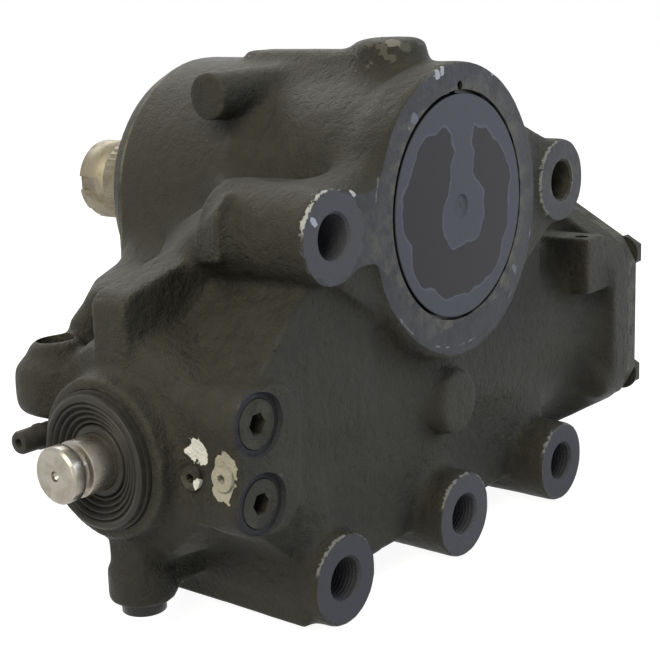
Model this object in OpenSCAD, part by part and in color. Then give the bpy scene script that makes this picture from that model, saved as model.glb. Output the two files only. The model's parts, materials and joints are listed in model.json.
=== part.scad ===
// Integral power steering gear: a cast housing with mounting lugs, a ball-screw worm that drives a
// rack piston, and a toothed sector shaft across it. Millimetres, +Z up. The origin is where the sector
// axis meets the mounting plane, halfway between the two upper mounting holes. +X runs along the worm
// towards the end cover, +Y along the sector shaft towards its splined end.

/* [Mounting lugs] */
// Distance between the two upper mounting holes
hole_spacing = 200; // [194:1:210]
// Drop from the upper row of holes to the lower row
lower_drop = 161; // [158:1:168]
// Radius of the mounting holes
hole_r = 10.5; // [8:0.5:12]
// Outer radius of a mounting lug
lug_r = 22.5; // [20:0.5:25]
// Distance of the boss's wide end behind the mounting plane
boss_start = 93; // [85:1:100]
// Depth of the hole in the upper lug on the input side
upper_hole_depth = 58; // [45:1:62]
// Length of the upper lug on the cylinder side
side_lug_len = 62; // [50:1:75]
// Length of the lower lugs
lower_lug_len = 104; // [95:1:112]

/* [Axes] */
// Distance of the worm axis behind the mounting plane
worm_y = 78; // [76:1:82]
// Drop from the sector axis to the worm axis
worm_drop = 95; // [94:0.5:97]

/* [Rack and sector] */
// Pitch radius of the sector
pitch_r = 47; // [46:0.5:48]
// Teeth that a full gear of this pitch would have
full_teeth = 8; // [8:1:9]
// Pressure angle of the teeth
pressure_angle = 25; // [23:1:27]
// Height of the sector teeth above the pitch circle
sector_addendum = 8; // [6:0.5:8.5]
// Height of the rack teeth above the pitch line
rack_addendum = 7; // [5:0.5:7]
// Clearance at the root of each tooth gap
root_clearance = 1.5; // [0.8:0.1:2]
// Width of the sector teeth
face_w = 54; // [44:1:60]
// Play on each tooth flank
flank_play = 0.3; // [0.2:0.05:0.5]

/* [Ball screw] */
// Lead of the worm thread
lead = 16; // [14:1:18]
// Outer radius of the worm thread
worm_r = 18; // [17:0.5:19]
// Radius of the recirculating balls
ball_r = 3.5; // [3:0.25:4]
// Turns of balls in the circuit
ball_turns = 3; // [2:1:3]

/* [Cylinder] */
// Bore radius of the cylinder
bore_r = 55; // [54.6:0.2:56]
// Wall of the cylinder casting
cylinder_wall = 9; // [8:0.5:11]
// Distance of the cylinder flange face from the sector axis
flange_x = 184; // [182:1:192]
// Thickness of the cylinder flange
flange_t = 19; // [16:1:22]
// Thickness of the end cover
end_cover_t = 13; // [11:1:16]
// Radius of the circle of end cover bolts
bolt_circle_r = 75; // [72:1:76]
// Thread radius of the end cover bolts
bolt_r = 6; // [5:0.5:6]

/* [Sector boss] */
// Radius of the ring that holds the side cover
ring_r = 70; // [67:0.5:72]
// Radius of the bearing boss behind it
boss_r = 71.5; // [68:0.5:74]
// Distance of the boss end from the mounting plane
boss_len = 172; // [168:1:176]
// Radius of the side cover
cover_r = 56.3; // [56:0.1:57]
// Journal radius of the sector shaft
journal_r = 28; // [27:0.5:29]
// Radius of a bearing needle
needle_r = 3; // [2.5:0.25:3.5]
// Radius of the splines on the output end
spline_r = 25; // [24:0.5:26]
// Radius of the threaded output end
thread_r = 23; // [21:0.5:23]
// Length of the splines
spline_len = 56; // [45:1:60]
// Length of the threaded output end
thread_len = 21.5; // [18:0.5:24]

/* [Valve end] */
// Radius of the input shaft
input_r = 13; // [11.5:0.5:13.5]
// Distance of the input shaft end from the sector axis
input_reach = 202; // [198:1:208]
// Outer radius of the collar round the input shaft
collar_r = 38; // [37:0.2:40]
// Length of the collar beyond the valve bore
collar_len = 18.2; // [17:0.2:22]
// How far the rim of the dust boot stands out of the collar
boot_proud = 5.5; // [4:0.5:7]
// Radius of the dust boot
boot_r = 32.5; // [31:0.5:33.5]
// Radius of the valve head on the worm
head_r = 30; // [28:0.5:31]
// Radius of the rotary valve on the input shaft
valve_r = 15; // [14:0.5:16]
// Radius of the hydraulic port threads
port_r = 9; // [7:0.5:11]

/* [Hidden] */

$fn = 64;
// Overlap that makes a cut run clear of a face
eps = 1;
// Clearance between pieces that move past each other
run_gap = 0.25;
// Clearance between pieces that stay put
seat_gap = 0.05;

// Places of the five mounting holes, in X and Z
half_spacing = hole_spacing / 2;
upper_holes = [[-half_spacing, 0], [half_spacing, 0]];
lower_holes = [[-half_spacing, -lower_drop], [0, -lower_drop], [half_spacing, -lower_drop]];
worm_z = -worm_drop;

// Rack and sector
pitch_z = -pitch_r;
circular_pitch = 2 * PI * pitch_r / full_teeth;
tooth_angle = 360 / full_teeth;
base_r = pitch_r * cos(pressure_angle);
sector_tip_r = pitch_r + sector_addendum;
sector_root_r = pitch_r - rack_addendum - root_clearance;
rack_root = sector_addendum + root_clearance;
play_angle = flank_play / pitch_r * 180 / PI;
flank_steps = 6;
hub_r = journal_r + 4;
sector_y0 = worm_y - face_w / 2;
sector_y1 = worm_y + face_w / 2;
swing = 45;
travel = pitch_r * swing * PI / 180;

// Piston and worm along X
piston_r = bore_r - run_gap;
piston_x0 = -circular_pitch * 1.5 - 16;
piston_x1 = flange_x - travel - 6;
stop_x = piston_x0 - travel - 1;
ball_centre_r = worm_r + 0.3;
ball_track_r = ball_centre_r + ball_r + run_gap;
ball_x0 = -44;
ball_run = ball_turns * lead;
worm_x1 = ball_x0 + ball_run + travel + 12;
thread_x0 = ball_x0 - travel - 12;
worm_bore_x1 = worm_x1 + travel + 5;
ring_groove_x = piston_x1 - 18;
ring_groove_w = 4;
ring_groove_depth = 5;

// Valve end along X
nut_w = 6;
nut_x0 = stop_x - nut_w;
bearing_w = 14;
bearing_x0 = nut_x0 - bearing_w;
bearing_ball_r = 4;
bearing_ball_circle = head_r + bearing_ball_r + run_gap;
bearing_bore_r = bearing_ball_circle + bearing_ball_r + 5;
valve_bore_r = head_r + 3;
valve_x0 = bearing_x0 - 28;
head_x0 = valve_x0 + 2;
wall_x = valve_x0 - 5.7;
collar_x = valve_x0 - collar_len;
boot_seat = 5;
boot_x0 = collar_x - boot_proud;
boot_x1 = collar_x + boot_seat;
seal_t = 7;
seal_x0 = boot_x1 + 2;
seal_r = 23;
snap_t = 1.5;
rotor_x0 = valve_x0 + 1;
rotor_x1 = rotor_x0 + 42;
bar_r = 3.4;
bar_x1 = rotor_x1 + 20;
pin_r = 1.5;

// Sector axis along Y
cover_face = 1;
snap_y0 = 4;
snap_w = 3;
snap_depth = 3;
cover_y1 = sector_y0 - 6;
front_needle_y0 = 17;
front_needle_y1 = cover_y1 - 3;
race_r = journal_r + 2 * needle_r + 0.3;
race_t = 1.8;
output_seal_t = 9;
output_bore_r = journal_r + 11;
dust_seal_t = 5;
output_seal_y0 = boss_len - dust_seal_t - output_seal_t - 6;
rear_needle_y0 = sector_y1 + 8;
rear_needle_y1 = output_seal_y0 - 3;
spline_y0 = boss_len + 3;
thread_y0 = spline_y0 + spline_len;
shaft_end = thread_y0 + thread_len;
needle_count = floor(180 / asin((needle_r + 0.1) / (journal_r + needle_r + 0.15)));

// Flange and bolts
flange_corner_r = bolt_circle_r + 13;
cylinder_r = bore_r + cylinder_wall;
bolt_angles = [30, 90, 150, 210, 270, 330];

// Walls of the casting: front wall, belly between the lower lugs, gusset beside the boss
front_y = 18;
belly_z = -lower_drop - 6;
lug_side = half_spacing + lug_r;
gusset_y = 46;
gusset_drop = 22;
flare_r = 40;
pad_top = 81.5;

// Fittings on the casting
plug_x = -150;
plug_z = [-73, -109];
plug_r = 9;
plug_y = 5;
limiter_places = [[32.5, -98], [14, -95]];
limiter_r = 4;
bottom_x = -155;
bottom_plug_r = 9.5;
bottom_head_r = 10.5;
bottom_face = -168;
bleed_place = [124, -93];
bleed_r = 3.5;
port_x = -152;
port_y = 130;
port_top = -52;
port_boss_r = 20.5;
port_depth = 20;
return_x = -124;
return_face = 148;
bracket_hole_r = 4;
bracket_x = 144;
bracket_y = 12;
bracket_top = -39;

// Colours
paint = [0.16, 0.17, 0.15];
face_paint = [0.26, 0.28, 0.30];
steel = [0.70, 0.69, 0.66];
dark_steel = [0.30, 0.30, 0.31];
rubber = [0.07, 0.07, 0.07];
black = [0.05, 0.05, 0.05];
bronze = [0.66, 0.48, 0.26];

// Helpers: shapes laid along X or Y

module along_y(y0, y1)
    translate([0, y1, 0]) rotate([90, 0, 0]) linear_extrude(y1 - y0) children();

module along_x(x0, x1)
    translate([x0, 0, 0]) rotate([90, 0, 90]) linear_extrude(x1 - x0) children();

module rod_y(place, r, y0, y1)
    translate([place[0], y0, place[1]]) rotate([-90, 0, 0]) cylinder(r = r, h = y1 - y0);

module rod_x(place, r, x0, x1)
    translate([x0, place[0], place[1]]) rotate([0, 90, 0]) cylinder(r = r, h = x1 - x0);

module rod_z(place, r, z0, z1)
    translate([place[0], place[1], z0]) cylinder(r = r, h = z1 - z0);

// A rod on the line through two points, a good deal longer than their distance
module rod_between(a, b, r) {
    d = b - a;
    translate(a - 0.4 * d)
        rotate([0, acos(d[2] / norm(d)), atan2(d[1], d[0])])
            cylinder(r = r, h = 2.2 * norm(d));
}

module on_worm() translate([0, worm_y, worm_z]) children();

module worm_turned(points)
    on_worm() rotate([0, 90, 0]) rotate_extrude() polygon(points);

module sector_turned(points)
    rotate([-90, 0, 0]) rotate_extrude() polygon(points);

module worm_rod(r, x0, x1) rod_x([worm_y, worm_z], r, x0, x1);

module worm_ring(r0, r1, x0, x1)
    worm_turned([[r0, x0], [r1, x0], [r1, x1], [r0, x1]]);

module sector_rod(r, y0, y1) rod_y([0, 0], r, y0, y1);

module sector_ring(r0, r1, y0, y1)
    sector_turned([[r0, y0], [r1, y0], [r1, y1], [r0, y1]]);

module block(low, high)
    translate(low) cube(high - low);

// Gear teeth

function involute(a) = tan(a) * 180 / PI - a;
function polar(r, a) = [r * cos(a), r * sin(a)];
function half_tooth(r) = 90 / full_teeth - play_angle + involute(pressure_angle)
    - involute(acos(base_r / r));
flank_radii = [for (i = [0:flank_steps]) base_r + (sector_tip_r - base_r) * i / flank_steps];
root_in = sector_root_r - 3;

module sector_tooth(a) {
    polygon(concat(
        [polar(root_in, a - half_tooth(base_r))],
        [for (r = flank_radii) polar(r, a - half_tooth(r))],
        [for (i = [flank_steps:-1:0]) polar(flank_radii[i], a + half_tooth(flank_radii[i]))],
        [polar(root_in, a + half_tooth(base_r))]
    ));
}

module rack_gap(x) {
    half_w = circular_pitch / 4;
    slope = tan(pressure_angle);
    over = rack_addendum + 12;
    polygon([
        [x - half_w + rack_root * slope, pitch_z - rack_root],
        [x + half_w - rack_root * slope, pitch_z - rack_root],
        [x + half_w + over * slope, pitch_z + over],
        [x - half_w - over * slope, pitch_z + over]
    ]);
}

// Housing casting

module sector_casting() {
    sector_turned([
        [0, 0], [ring_r, 0], [ring_r, 18], [ring_r - 4, 26], [ring_r - 4, boss_start - 11],
        [boss_r, boss_start], [boss_r, boss_len - 9],
        [boss_r - 2.5, boss_len - 3], [boss_r - 8, boss_len], [0, boss_len]
    ]);
    translate([0, 0, -8]) sector_rod(ring_r - 1, 0, 20);
    // The boss runs straight down to a shelf below the sector axis
    along_y(boss_start - 2, boss_len - 4) square_down(boss_r + 0.5, 35);
    along_y(24, boss_start) square_down(ring_r - 8, 60);
    // Gusset from the first upper lug to the end of the boss, with a hollow flare on top
    difference() {
        intersection() {
            hull() {
                rod_y(upper_holes[0], lug_r + 1.5, gusset_y, gusset_y + 14, $fn = 32);
                block([-boss_r, gusset_y + 14, -gusset_drop - 12], [-boss_r + 16, boss_len - 6, 12]);
            }
            block([-lug_side - 4, 0, -gusset_drop], [0, boss_len, 60]);
        }
        rod_between([-half_spacing - 40, gusset_y, 50], [-half_spacing - 5, gusset_y + 74, 20], flare_r);
    }
    // Cast bosses on top: oil gallery, its pad and a side boss
    rod_z([0, 40], 18.5, 40, pad_top);
    along_y(40, 128) polygon([[-30, 56], [-9, pad_top - 6], [9, pad_top - 6], [30, 56]]);
    rod_x([99, 57], 12, -boss_r - 0.5, -20);
}

module square_down(half_w, depth)
    translate([-half_w, -depth]) square([2 * half_w, depth]);

module cylinder_casting() {
    worm_turned([
        [0, stop_x - 6], [cylinder_r, stop_x - 6], [cylinder_r, flange_x - flange_t - 16],
        [cylinder_r + 4, flange_x - flange_t - 5], [cylinder_r + 8, flange_x - flange_t + 1],
        [0, flange_x - flange_t + 1]
    ]);
    on_worm() along_x(flange_x - flange_t, flange_x) cover_outline(flange_corner_r);
    // Neck between the cylinder and the sector chamber
    block([-64, 18, worm_z], [64, 138, -30]);
    // Round cast pad on the front
    rod_y([4, -103], 17, 11, 40);
}

module cover_outline(corner_r)
    intersection() {
        rotate(30) circle(r = corner_r, $fn = 6);
        circle(r = corner_r - 5);
    }

module valve_casting() {
    worm_turned([
        [0, collar_x], [collar_r, collar_x], [collar_r, wall_x - 3], [collar_r + 1.5, wall_x],
        [44, wall_x], [50, wall_x + 3],
        [54, wall_x + 12], [57, stop_x - 20], [cylinder_r - 1, stop_x - 4], [0, stop_x - 4]
    ]);
    // Ribs above and below the collar, and the boss of the bottom plug
    along_y(worm_y - 11, worm_y + 11) polygon([
        [wall_x - 3, worm_z], [wall_x - 3, -26], [wall_x + 3, -21], [-100, -6], [-60, -6], [-60, worm_z]
    ]);
    along_y(worm_y - 12, worm_y + 11) polygon([
        [wall_x - 3, worm_z], [wall_x - 3, bottom_face + 8], [wall_x + 5, bottom_face + 4],
        [-100, bottom_face + 4], [-100, worm_z]
    ]);
    rod_z([bottom_x, worm_y], 16, bottom_face, bottom_face + 16);
    // Wall with the limiter screws, and the pad of the channel plugs
    block([wall_x, plug_y + 2, -120], [-120, 70, -66]);
    along_y(plug_y, 60) {
        for (z = plug_z) translate([plug_x, z]) circle(r = 14);
        translate([wall_x + 0.7, plug_z[1] - 9])
            square([plug_x + 13 - wall_x, plug_z[0] - plug_z[1] + 18]);
    }
    // Hydraulic port bosses on the far side
    rod_z([port_x, port_y], port_boss_r, port_top - 33, port_top - 9);
    rod_z([port_x, port_y], port_r + 4, port_top - 12, port_top);
    rod_y([return_x, worm_z], 21, 100, return_face);
    rod_x(bleed_place, bleed_r + 3, wall_x + 3, wall_x + 30);
}

module lug_casting() {
    rod_y(upper_holes[0], lug_r, 0, gusset_y + 16);
    rod_y(upper_holes[1], lug_r, 0, side_lug_len);
    for (p = lower_holes) rod_y(p, lug_r, 0, lower_lug_len);
    // Webs from the upper lugs to the ring
    along_y(3, 30) polygon([
        [-half_spacing, 20], [-64, 26], [60, 36], [half_spacing, 20],
        [half_spacing, -20], [60, -46], [-60, -46], [-half_spacing, -20]
    ]);
    front_wall();
    // Shoulder that slopes from the gusset down to the wall of the limiter screws
    along_y(plug_y + 5, 112) polygon([
        [-half_spacing - 6, -20], [-60, -3], [-60, worm_z], [wall_x + 2, worm_z],
        [wall_x + 2, -74], [plug_x, -62]
    ]);
    // Slope from that wall down to the first lower lug, its side wall, and the belly behind all three
    along_y(plug_y + 7, lower_lug_len - 8) polygon([
        [-half_spacing, worm_z], [wall_x + 4, worm_z], [wall_x + 4, -116],
        [-lug_side, -146], [-lug_side, belly_z], [-half_spacing, belly_z]
    ]);
    block([-lug_side + 2, 9, -lower_drop - lug_r + 3], [-half_spacing, lower_lug_len - 4, -112]);
    block([-lug_side + 4, 50, belly_z], [half_spacing + 16, lower_lug_len - 3, -126]);
    // Bracket lug beside the flange
    block([bracket_x - 7, bracket_y - 8, -72], [bracket_x + 13, 40, bracket_top]);
    block([bracket_x, bracket_y - 8, -72], [flange_x - flange_t + 2, 36, -54.5]);
}

// Front wall that joins the ring, the lugs and the plug pad, set back a little towards the cylinder's end
module front_wall()
    intersection() {
        along_y(0, 58) polygon([
            [-half_spacing, -4], [lug_side - 8, -4], [lug_side - 5, belly_z + 9], [lug_side - 12, belly_z],
            [-lug_side + 12, belly_z], [-lug_side + 4, belly_z + 9], [-lug_side + 2, -136],
            [plug_x, -118], [plug_x + 6, -62], [-half_spacing - 4, -26]
        ]);
        translate([0, 0, belly_z - eps]) linear_extrude(-belly_z + 2 * eps) polygon([
            [wall_x, plug_y + 3], [-half_spacing, 12], [0, front_y], [lug_side, front_y + 4],
            [lug_side, 60], [wall_x, 60]
        ]);
    }

module housing_bores() {
    // Sector bore, snap ring groove, rear bearing and seal seats
    sector_rod(cover_r + 0.2, -eps, sector_y1 + 4);
    sector_rod(cover_r + snap_depth, snap_y0, snap_y0 + snap_w);
    sector_rod(race_r + race_t + seat_gap, sector_y1, output_seal_y0);
    sector_rod(output_bore_r, output_seal_y0 - 0.01, boss_len + eps);
    // Cylinder, worm bearing, valve, seal and boot seats
    worm_rod(bore_r, stop_x, flange_x + eps);
    worm_rod(bearing_bore_r + seat_gap, bearing_x0, stop_x + eps);
    worm_rod(valve_bore_r, valve_x0, bearing_x0 + eps);
    worm_rod(input_r + 1, collar_x, valve_x0 + eps);
    worm_rod(seal_r + seat_gap, collar_x, seal_x0 + seal_t);
    worm_rod(boot_r + 0.3, collar_x - eps, boot_x1);
    // Mounting holes
    rod_y(upper_holes[0], hole_r, -eps, upper_hole_depth);
    rod_y(upper_holes[1], hole_r, -eps, side_lug_len + 80);
    for (p = lower_holes) rod_y(p, hole_r, -eps, lower_lug_len + eps);
    // Threads of the end cover bolts
    on_worm() for (a = bolt_angles)
        rod_x(polar(bolt_circle_r, a), bolt_r + seat_gap, flange_x - flange_t - 4, flange_x + eps);
    // Seats of the plugs, screws and the nipple
    for (z = plug_z) rod_y([plug_x, z], plug_r + seat_gap, plug_y - eps, plug_y + 22);
    for (z = plug_z) rod_y([plug_x, z], plug_r + 2.5, plug_y - eps, plug_y + 3);
    for (p = limiter_places) rod_x(p, limiter_r + seat_gap, wall_x - eps, wall_x + 22);
    rod_z([bottom_x, worm_y], bottom_plug_r + seat_gap, bottom_face - eps, bottom_face + 22);
    rod_x(bleed_place, bleed_r + seat_gap, wall_x - eps, wall_x + 20);
    rod_x(bleed_place, bleed_r + 3.5, wall_x - eps, wall_x + 3);
    // Hydraulic ports and the bracket's thread
    rod_z([port_x, port_y], port_r, port_top - port_depth, port_top + eps);
    rod_y([return_x, worm_z], port_r, return_face - port_depth, return_face + eps);
    rod_z([bracket_x, bracket_y], bracket_hole_r, bracket_top - 18, bracket_top + eps);
}

module housing() {
    color(paint) difference() {
        union() {
            sector_casting();
            cylinder_casting();
            valve_casting();
            lug_casting();
        }
        housing_bores();
    }
}

// Covers

module side_cover() {
    inner_r = race_r + race_t + seat_gap;
    groove_r = cover_r - 3;
    color(face_paint) sector_turned([
        [0, cover_face + 1], [4, cover_face + 0.4], [5, cover_face], [cover_r - 2.6, cover_face],
        [cover_r - 2, cover_face + 0.6], [cover_r - 2, snap_y0 + snap_w + seat_gap],
        [cover_r, snap_y0 + snap_w + seat_gap], [cover_r, 20], [groove_r, 20], [groove_r, 24.4],
        [cover_r, 24.4], [cover_r, cover_y1 - 12],
        [cover_r - 10, cover_y1], [inner_r, cover_y1], [inner_r, front_needle_y0 - 2],
        [journal_r - 4, front_needle_y0 - 2], [journal_r - 4, front_needle_y0 - 5], [0, front_needle_y0 - 5]
    ]);
}

module o_ring_y(r, y, thick)
    rotate([-90, 0, 0]) translate([0, 0, y]) rotate_extrude()
        translate([r, 0]) circle(d = thick, $fn = 24);

module side_cover_seal()
    color(rubber) o_ring_y(cover_r - 1.5, 22.2, 2.9);

module side_cover_snap_ring() {
    // A split ring with a pull hole beside its gap
    color(dark_steel) difference() {
        sector_ring(cover_r - 1.6, cover_r + snap_depth - 0.2,
            snap_y0 + seat_gap, snap_y0 + snap_w - seat_gap);
        block([-2.5, 0, cover_r - 5], [2.5, snap_y0 + snap_w + eps, cover_r + snap_depth + eps]);
    }
}

module end_cover() {
    color(paint) difference() {
        union() {
            on_worm() along_x(flange_x, flange_x + end_cover_t - 2) cover_outline(flange_corner_r - 1);
            on_worm() along_x(flange_x + end_cover_t - 3, flange_x + end_cover_t)
                cover_outline(flange_corner_r - 3);
            worm_rod(bore_r - 0.1, flange_x - 4, flange_x + eps);
            worm_turned([
                [0, flange_x + end_cover_t - eps], [46, flange_x + end_cover_t - eps],
                [42, flange_x + end_cover_t + 3], [0, flange_x + end_cover_t + 3]
            ]);
        }
        on_worm() for (a = bolt_angles)
            rod_x(polar(bolt_circle_r, a), bolt_r + 0.5, flange_x - eps, flange_x + end_cover_t + eps);
        worm_ring(bore_r + 3, bore_r + 6.4, flange_x - eps, flange_x + 2);
    }
}

module end_cover_bolts() {
    head_h = 7.5;
    head_x = flange_x + end_cover_t;
    color(paint) on_worm() for (a = bolt_angles) {
        place = polar(bolt_circle_r, a);
        rod_x(place, bolt_r, flange_x - flange_t - 2, head_x);
        rod_x(place, bolt_r * 1.75, head_x, head_x + 1.5);
        translate([head_x + 1.5, place[0], place[1]]) rotate([0, 90, 0])
            cylinder(r = bolt_r * 1.73, h = head_h - 1.5, $fn = 6);
    }
}

module end_cover_seal()
    color(rubber) worm_ring(bore_r + 3.2, bore_r + 6.2, flange_x + seat_gap, flange_x + 1.9);

// Sector shaft bearings and seals

module bearing_race_y(y0, y1)
    sector_ring(race_r, race_r + race_t, y0, y1);

module needles_y(y0, y1)
    for (i = [0:needle_count - 1])
        rotate([0, i * 360 / needle_count, 0])
            rod_y([journal_r + needle_r + 0.15, 0], needle_r, y0, y1);

module front_bearing_race() color(steel) bearing_race_y(front_needle_y0 - 1, cover_y1 - 1);

module front_needles() color(steel) needles_y(front_needle_y0, front_needle_y1);

module rear_bearing_race() color(steel) bearing_race_y(sector_y1 + 5, rear_needle_y1 + 2);

module rear_needles() color(steel) needles_y(rear_needle_y0, rear_needle_y1);

module output_seal()
    color(rubber) sector_turned([
        [journal_r + run_gap, output_seal_y0 + 3], [journal_r + 3, output_seal_y0 + 1],
        [output_bore_r - seat_gap, output_seal_y0 + 0.2],
        [output_bore_r - seat_gap, output_seal_y0 + output_seal_t],
        [journal_r + 5, output_seal_y0 + output_seal_t], [journal_r + run_gap, output_seal_y0 + 6]
    ]);

module output_seal_ring()
    color(dark_steel) difference() {
        sector_ring(output_bore_r - 4, output_bore_r - seat_gap, output_seal_y0 + output_seal_t + 0.2,
            output_seal_y0 + output_seal_t + 2);
        block([-6, output_seal_y0 + output_seal_t, 0],
            [6, output_seal_y0 + output_seal_t + 4, output_bore_r + eps]);
    }

module output_dust_seal() {
    y0 = boss_len - dust_seal_t;
    color(rubber) sector_turned([
        [journal_r + run_gap, y0 + 2], [output_bore_r - seat_gap, y0],
        [output_bore_r - seat_gap, boss_len - 0.5],
        [journal_r + 4, boss_len - 0.5], [journal_r + run_gap, boss_len + 1]
    ]);
}

module sector_shaft() {
    color(steel) difference() {
        union() {
            sector_turned([
                [0, front_needle_y0 - 1], [journal_r - 2, front_needle_y0 - 1],
                [journal_r, front_needle_y0 + 1],
                [journal_r, sector_y0], [hub_r, sector_y0 + 3], [hub_r, sector_y1 - 3],
                [journal_r, sector_y1],
                [journal_r, boss_len + 1.5], [spline_r - 1, spline_y0 + 2], [spline_r - 1, thread_y0 - 1],
                [thread_r - 2, thread_y0], [thread_r - 2, thread_y0 + 2], [thread_r, thread_y0 + 4],
                [thread_r, shaft_end - 1.5], [thread_r - 1.5, shaft_end], [0, shaft_end]
            ]);
            along_y(sector_y0, sector_y1) intersection() {
                circle(r = sector_root_r);
                polygon([[0, 4], [-sector_tip_r * 1.4, -sector_tip_r * 0.45],
                    [-sector_tip_r, -sector_tip_r * 1.2],
                    [sector_tip_r, -sector_tip_r * 1.2], [sector_tip_r * 1.4, -sector_tip_r * 0.45]]);
            }
            along_y(sector_y0, sector_y1)
                for (k = [-1:1]) sector_tooth(-90 + k * tooth_angle);
            along_y(spline_y0, thread_y0 - 2) serration(spline_r, 40);
        }
        // Slot and centre hole in the threaded end
        rotate([0, 35, 0]) block([-5, shaft_end - 3, -thread_r - 2], [5, shaft_end + eps, thread_r + 2]);
        sector_turned([[0, shaft_end - 9], [3, shaft_end - 5], [3, shaft_end + eps], [0, shaft_end + eps]]);
    }
}

module serration(r, count)
    polygon([for (i = [0:2 * count - 1]) polar(i % 2 == 0 ? r : r - 1.8, i * 180 / count)]);

// Worm, its bearing and the rotary valve

module worm_section() {
    steps = 20;
    groove_r = ball_r + run_gap;
    function depth(u) = abs(u) < groove_r ? ball_centre_r - sqrt(groove_r * groove_r - u * u) : worm_r;
    polygon([for (i = [0:steps - 1])
        let (a = i * 360 / steps, u = lead * (a > 180 ? a - 360 : a) / 360)
            polar(min(worm_r, depth(u)), a)]);
}

module worm() {
    thread_len_x = worm_x1 - thread_x0;
    turns = thread_len_x / lead;
    core_r = ball_centre_r - ball_r - 2;
    color(steel) {
        difference() {
            worm_turned([
                [0, head_x0], [head_r - 1, head_x0], [head_r, head_x0 + 1], [head_r, stop_x - 5],
                [head_r - 4, stop_x - 3], [core_r + 2, stop_x - 1], [core_r, stop_x + 2],
                [core_r, thread_x0 + 2], [0, thread_x0 + 2]
            ]);
            worm_rod(valve_r + run_gap, head_x0 - eps, rotor_x1 + 2);
            worm_rod(bar_r + run_gap, rotor_x1, bar_x1 + 2);
            rod_y([bar_x1 - 8, worm_z], pin_r + seat_gap, worm_y - 40, worm_y + 40);
            // Grooves for the valve rings
            for (x = valve_ring_x)
                worm_ring(head_r - 2, head_r + eps, x, x + 2.4);
        }
        translate([thread_x0 + 2, worm_y, worm_z]) rotate([0, 90, 0])
            linear_extrude(height = thread_len_x, twist = -360 * turns, slices = ceil(turns * 16), $fn = 20)
                worm_section();
    }
}

valve_ring_x = [for (i = [0:3]) head_x0 + 3 + i * 6];

module valve_rings()
    color(bronze) for (x = valve_ring_x)
        worm_ring(head_r - 1.9, valve_bore_r - run_gap, x + 0.1, x + 2.3);

module worm_pin()
    color(dark_steel) rod_y([bar_x1 - 8, worm_z], pin_r, worm_y - 10, worm_y + 10);

module worm_bearing_race()
    color(steel) worm_turned([
        [bearing_ball_circle + bearing_ball_r - 1, bearing_x0 + 0.5],
        [bearing_bore_r, bearing_x0 + 0.5], [bearing_bore_r, nut_x0 - 0.2],
        [bearing_ball_circle + bearing_ball_r - 1, nut_x0 - 0.2],
        [bearing_ball_circle + bearing_ball_r + 0.1, nut_x0 - 4],
        [bearing_ball_circle + bearing_ball_r + 0.1, bearing_x0 + 4]
    ]);

module worm_bearing_balls() {
    count = 16;
    color(steel) on_worm() for (i = [0:count - 1])
        rotate([i * 360 / count, 0, 0]) translate([(bearing_x0 + nut_x0) / 2, bearing_ball_circle, 0])
            sphere(r = bearing_ball_r);
}

module worm_bearing_nut()
    color(dark_steel) difference() {
        worm_ring(head_r + 4, bearing_bore_r, nut_x0, stop_x - 0.3);
        on_worm() for (a = [0:90:270]) rotate([a, 0, 0])
            block([stop_x - 3, head_r, -4], [stop_x + eps, head_r + 9, 4]);
    }

module input_seal()
    color(rubber) worm_turned([
        [input_r + run_gap, seal_x0 + 3], [seal_r, seal_x0 + 0.4], [seal_r, seal_x0 + seal_t - 0.2],
        [input_r + 4, seal_x0 + seal_t - 0.2], [input_r + run_gap, seal_x0 + 6]
    ]);

module input_seal_ring()
    color(dark_steel) difference() {
        worm_ring(seal_r - 4, seal_r, seal_x0 - snap_t, seal_x0 - 0.1);
        on_worm() block([seal_x0 - snap_t - eps, -4, 0], [seal_x0 + 0.05, 4, seal_r + eps]);
    }

// The dust boot is a dished disc with ring-shaped folds, from a proud rim in to a hub on the shaft
module dust_boot() {
    hub_r = input_r + 3;
    dish = boot_proud - 0.5;
    folds = 5;
    fold_step = (boot_r - 2 - hub_r) / folds;
    front = boot_x0;
    color(rubber) difference() {
        worm_turned([
            [input_r + run_gap, front + dish - 1], [hub_r, front + dish - 1],
            [hub_r + 0.6, front + dish + 0.4],
            [boot_r - 2.4, front + 0.8], [boot_r - 1.8, front], [boot_r - 0.4, front], [boot_r, front + 0.8],
            [boot_r, boot_x1 - 0.2], [input_r + run_gap, boot_x1 - 0.2]
        ]);
        for (i = [0:folds - 1])
            worm_ring(hub_r + fold_step * i + 1, hub_r + fold_step * i + 2.4, front - eps,
                front + dish * (1 - i / folds) + 1.8);
    }
}

module input_shaft() {
    end = -input_reach;
    land = 6.5;
    groove_w = 5;
    color(steel) difference() {
        worm_turned([
            [0, end], [input_r - 1.2, end], [input_r, end + 1.2], [input_r, end + land],
            [input_r - 2.6, end + land + 0.8], [input_r - 2.6, end + land + groove_w - 0.8],
            [input_r, end + land + groove_w], [input_r, rotor_x0 - 1], [valve_r - 1, rotor_x0],
            [valve_r, rotor_x0 + 1], [valve_r, rotor_x1 - 1], [valve_r - 1, rotor_x1], [0, rotor_x1]
        ]);
        // Centre hole, the torsion bar's bore and the valve slots
        worm_turned([[0, end - eps], [2.4, end - eps], [2.4, end + 1.5], [0, end + 4]]);
        worm_rod(bar_r + seat_gap, end + land + groove_w, rotor_x1 + eps);
        on_worm() for (a = [0:60:300]) rotate([a, 0, 0])
            block([rotor_x0 + 8, -2.5, valve_r - 2.5], [rotor_x1 - 8, 2.5, valve_r + eps]);
        rod_y([rotor_x0 + 4, worm_z], pin_r + seat_gap, worm_y - 40, worm_y + 40);
    }
}

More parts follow.
